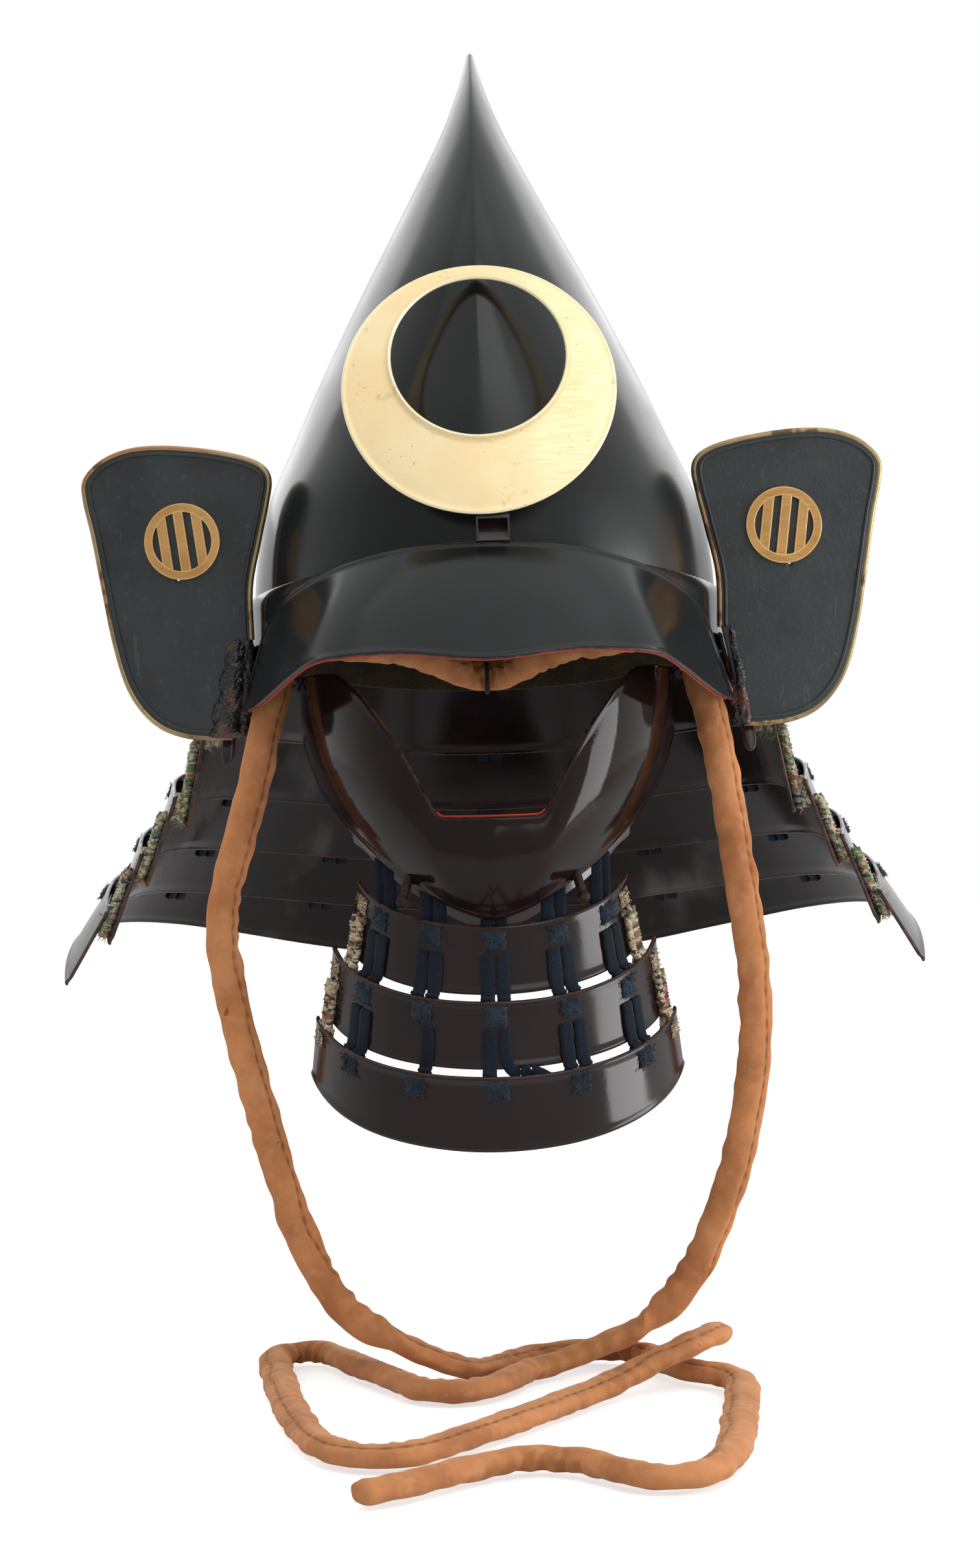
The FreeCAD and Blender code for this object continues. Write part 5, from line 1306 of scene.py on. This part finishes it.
throat_step = math.degrees(THROAT_COLUMN_SPACING / (THROAT_RADIUS * THROAT_TOP_SHARES[0]))
throat_columns = columns(THROAT_COLUMN_COUNT, throat_step)
BROKEN_LACE = ((1.5, -1.6, -7.0), (6.0, -2.4, -10.0), (12.0, -2.2, -9.0), (19.0, -1.0, -12.5))
for k in range(2):
    upper, lower = on_plate(throat_place, k), on_plate(throat_place, k + 1, -THROAT_THICKNESS)
    radius = THROAT_RADIUS * THROAT_TOP_SHARES[k + 1]
    apart = math.degrees(LACE_PITCH / 2 / radius)
    tall = throat_place(k + 1, 0, 0, 0).z - throat_place(k + 1, 0, 1, 0).z
    for n, group in enumerate(paired(throat_columns)):
        build = Build()
        for column in group:
            # Of two columns between the lower plates, one lace is lost
            lost = k == 1 and column in throat_columns[1:3]
            for side in ((1 if column < -1 else -1,) if lost else (-1, 1)):
                angle = column + side * apart
                given = lace_points(upper, lower, angle, 0.46, LACE_TUCK / tall, 0.0, 2.2)
                lace_strip(build, *given, LACE_BROAD, LACE_THICKNESS * 1.3)
            if k == 1 and abs(column) < 1:
                loose, across = lace_points(upper, lower, column + apart, 0.46, 0.3, 0.0, 2.0)
                tail = [loose[2] + Vector(step) for step in BROKEN_LACE]
                lace_strip(build, loose[:3] + tail, across, 5.6, LACE_THICKNESS * 1.3)
        joined(build, f"throat_lace_{k + 1}_{n + 1}", INDIGO, [f"throat_laces_{k + 1}"])
    build = Build()
    for side in (-1, 1):
        angle = side * (THROAT_END_ANGLES[k] - math.degrees(12.0 / radius))
        points, across = lace_points(upper, lower, angle, 0.43, 0.3, 0.0, 2.2, 2.6)
        braid_strip(build, points, across, 9.0, 2.4, 500 + 10 * k + side, 6, 0.8)
    joined(build, f"throat_ear_{k + 1}", TAN)


def flange_place(across, lift):
    """The turn and radius of a place inside the mask's foot, so far to the side."""
    turn = 0.0
    for _ in range(24):
        chin = math.cos(math.radians(turn * MASK_CHIN_SHARE)) ** 2
        radius = MASK_RADIUS - chin * MASK_TUCK - MASK_THICKNESS - FIT_GAP + lift
        turn = math.degrees(math.asin(across / radius))
    return turn, radius


apart = math.degrees(LACE_SPACING / 2 / (THROAT_RADIUS * THROAT_TOP_SHARES[0]))
for n, group in enumerate(paired(throat_columns)):
    build = Build()
    for column in group:
        for side in (-1, 1):
            off = LACE_SEAT + LACE_THICKNESS / 2
            edge = throat_place(0, column + side * apart, 0, -THROAT_THICKNESS - off)
            turn, out = flange_place(edge.x, off)
            low = -MASK_DROP * mask_bottom(abs(turn))
            top = around(MASK, turn, out, low + 1.0)
            knee = around(MASK, turn, out, max(low - FLANGE_BELOW, edge.z + FIT_GAP))
            foot = edge + Vector((0, 0, -LACE_TUCK))
            lace_strip(build, [top, knee, edge, foot], (1, 0, 0), LACE_WIDTH * 1.2, LACE_THICKNESS)
    joined(build, f"mask_lace_{n + 1}", INDIGO, ["mask_laces"])


def knot(build, place, angle, v, half, tall, lift, seed, frays=70):
    """Crossed turns of lace over a bar, pulled into a frayed square pad."""
    rng = random.Random(seed)

    def at(u, w, up):
        ragged = 1.0 + 0.3 * rough(u * 2.1, w * 2.1, seed)
        return place(angle + u * half * ragged, v + (0.5 + 0.5 * w * ragged) * tall, up)

    def skin(u, w, top):
        if not top:
            return at(u, w, 0.05)
        dome = (1 - u**6) * (1 - w**6)
        cross = max(hump(u - w, 0, 0.36), hump(u + w, 0, 0.36))
        grain = rough(u * 4.0, w * 4.0, seed) + 0.6 * rough(u * 9.0, w * 9.0, seed)
        return at(u, w, lift * 0.5 + 1.5 * dome * (0.62 + 0.38 * cross) + 0.34 * grain)

    steps = [math.copysign(abs(t) ** 0.8, t) for t in spread(17, -1.0, 1.0)]
    plate(build, skin, True, False, steps, steps, round_edge=0.7)
    here = place(angle, v, lift)
    across = (place(angle + 0.5, v, lift) - place(angle - 0.5, v, lift)).normalized()
    down = (place(angle, v + tall, lift) - here).normalized()
    out = (place(angle, v, lift + 1.0) - here).normalized()
    for _ in range(frays):
        u, w = rng.uniform(-1, 1), rng.uniform(-1, 1)
        start = at(u, w, lift + rng.uniform(0.2, 1.2))
        lean = across * (0.7 * u + rng.uniform(-0.7, 0.7)) + down * (0.7 * w - rng.uniform(-0.7, 0.7))
        reach = rng.uniform(0.8, 2.4)
        end = start + lean * reach * 0.7 + out * rng.uniform(0.1, 0.8)
        bent = (start + end) / 2 + out * rng.uniform(0.1, 0.6)
        tube(build, [start, bent, end], FRAY_RADII, 3, tint=rng.random())


def pads(name, place, radius, tall, centres, wide, high, seed, frays, replaces, body):
    """A row of lace knots near the top of a plate."""
    build = Build()
    half = math.degrees(TIE_PAD_WIDTH / 2 / radius) * wide
    for n, centre in enumerate(centres):
        drop, height = TIE_PAD_DROP / tall, TIE_PAD_HEIGHT / tall * high
        knot(build, place, centre, drop, half, height, 0.7, seed + n, frays)
    build.make(name, TEAL, body, "indigo_lace", replaces)


for k in range(3):
    place, radius, m = on_plate(throat_place, k), THROAT_RADIUS * THROAT_TOP_SHARES[k], k + 1
    tall = place(0, 0, 0).z - place(0, 1, 0).z
    given = (throat_columns, 0.8, 0.92, 40 * k, 70, [f"throat_ties_{m}"], f"throat_{m}")
    pads(f"throat_knots_{m}", place, radius, tall, *given)
    build = Build()
    inset = math.degrees(10.0 / radius)
    for side in (-1, 1):
        middle = side * (THROAT_END_ANGLES[k] - inset)
        knot(build, place, middle, 3.0 / tall, inset * 0.4, 7.0 / tall, 0.5, 70 + 10 * k + side, 50)
    for i, point in enumerate(build.points):
        value = noise.noise(Vector(point) / 1.6)
        build.values["tint"][i] = clamp(0.5 + 0.9 * value, 0.0, 0.999)
    build.make(f"throat_corners_{m}", TAN, f"throat_{m}", "indigo_lace")
for k in range(1, 5):
    place, m = on_plate(lame_place, k, LAME_THICKNESS), k + 1
    tall = lame_top(k, HALF_TURN) - lame_low(k, HALF_TURN)
    centres = [HALF_TURN + column for column in neck_columns]
    given = (centres, 0.74, 0.86, 200 + 40 * k, 30, [f"neck_ties_{m}"], f"lame_{m}")
    pads(f"neck_knots_{m}", place, lame_radii(k)[0], tall, *given)

# Lining and ties


def liner_place(angle, share, drop):
    radius = (BOWL_HALF_WIDTH - BOWL_WALL) * smooth(LINER_SHARES, share) - max(drop, 0.6)
    return around(HELMET, angle, radius, mix(-LINER_DROP, LINER_TOP, share) - drop)


def cloth_lift(across, down, *_):
    return 0.5 * uneven(across, down, 16.0, 16.0, 2.0) - 0.4


shell(
    "lining_cap", LINING, "helmet", "lining_cloth", ["liner"],
    liner_place, 0, LINER_THICKNESS,
    spread(120, -HALF_TURN, HALF_TURN)[:-1], [math.sin(t) for t in spread(40, 0.0, math.pi / 2)],
    wrap=True, round_edge=0.8, lift=cloth_lift,
)


def edging_place(angle, v, lift):
    sag = max(0.0, -math.cos(math.radians(angle))) ** LINER_EDGE_SAG_POWER
    low = mix(-BAND_DROP + FIT_GAP, -LINER_EDGE_BACK_DROP, sag)
    return around(HELMET, angle, BOWL_HALF_WIDTH - LINER_EDGE_THICKNESS + lift, mix(-FIT_GAP, low, v))


def edging_lift(across, down, *_):
    return 0.5 * uneven(across, down, 5.0, 7.0, 4.0) - 0.2


shell(
    "lining_edge", EDGING, "helmet", "lining_cloth", ["liner_edge"],
    edging_place, LINER_EDGE_THICKNESS, 0, spread(300, -HALF_TURN, HALF_TURN)[:-1], (12, 0.0, 1.0, 12.0),
    wrap=True, round_edge=0.7, lift=edging_lift,
)
build = Build()
for side in (-1, 1):
    tuft(build, (side * 90.5, -26.0, -20.0), (0, 0.4, -0.8), 130, 4.6, 380 + side)
build.make("mask_tufts", TIECORD, "mask", "tie_cord")

# Floor, world and lamps

corners = [(x, y, FLOOR_Z) for x, y in ((-4000, -3000), (4000, -3000), (4000, 5000), (-4000, 5000))]
floor = new_object("floor", corners, [(0, 1, 2, 3)])
paper = bpy.data.materials.new("paper")
tree = blank(paper)
seen = node(tree, "LightPath").outputs["Is Camera Ray"]
level = node(tree, "Math", {0: seen, 1: 0.62}, operation="MULTIPLY").outputs[0]
glow = node(tree, "Emission", {"Strength": level}).outputs[0]
matt = node(tree, "BsdfDiffuse", {"Color": (0.8, 0.8, 0.8)}).outputs[0]
both = node(tree, "AddShader", {0: matt, 1: glow}).outputs[0]
node(tree, "OutputMaterial", {0: both})
floor.data.materials.append(paper)

world = bpy.data.worlds.new("studio")
bpy.context.scene.world = world
tree = blank(world)
way = node(tree, "TexCoord").outputs["Generated"]
turn = node(tree, "VectorMath", {0: way, 1: (0.35, 0.92, 0.2)}, operation="DOT_PRODUCT").outputs["Value"]
levels = {"Value": turn, "From Min": -0.9, "From Max": 0.5, "To Min": 0.45, "To Max": 1.0}
dimmed = node(tree, "MapRange", levels, interpolation_type="SMOOTHSTEP").outputs[0]
seen = node(tree, "LightPath").outputs["Is Camera Ray"]
level = node(tree, "Math", {0: dimmed, 1: seen}, operation="MAXIMUM").outputs[0]
sky = node(tree, "Background", {"Color": (1.0, 1.0, 1.0), "Strength": level}).outputs[0]
node(tree, "OutputWorld", {0: sky})

for name, place, aim_z, wide, tall, power in (
    ("over", (0.0, -1.0, 2.2), 0.0, 4.0, 2.6, 12.0),
    ("right", (1.6, -0.4, 0.0), 0.0, 0.85, 0.6, 10.0),
    ("front", (0.62, -1.55, 1.3), 0.0, 1.0, 1.2, 5.0),
    ("side_left", (-0.85, 1.25, 0.8), 0.15, 1.1, 0.9, 4.5),
    ("side_right", (0.85, 1.25, 0.8), 0.15, 1.1, 0.9, 4.5),
):
    data = bpy.data.lights.new(name, "AREA")
    data.shape = "RECTANGLE"
    data.size, data.size_y, data.energy = wide, tall, power
    lamp = linked(name, data)
    lamp.location = place
    lamp.rotation_euler = (Vector((0, 0, aim_z)) - Vector(place)).to_track_quat("-Z", "Y").to_euler()
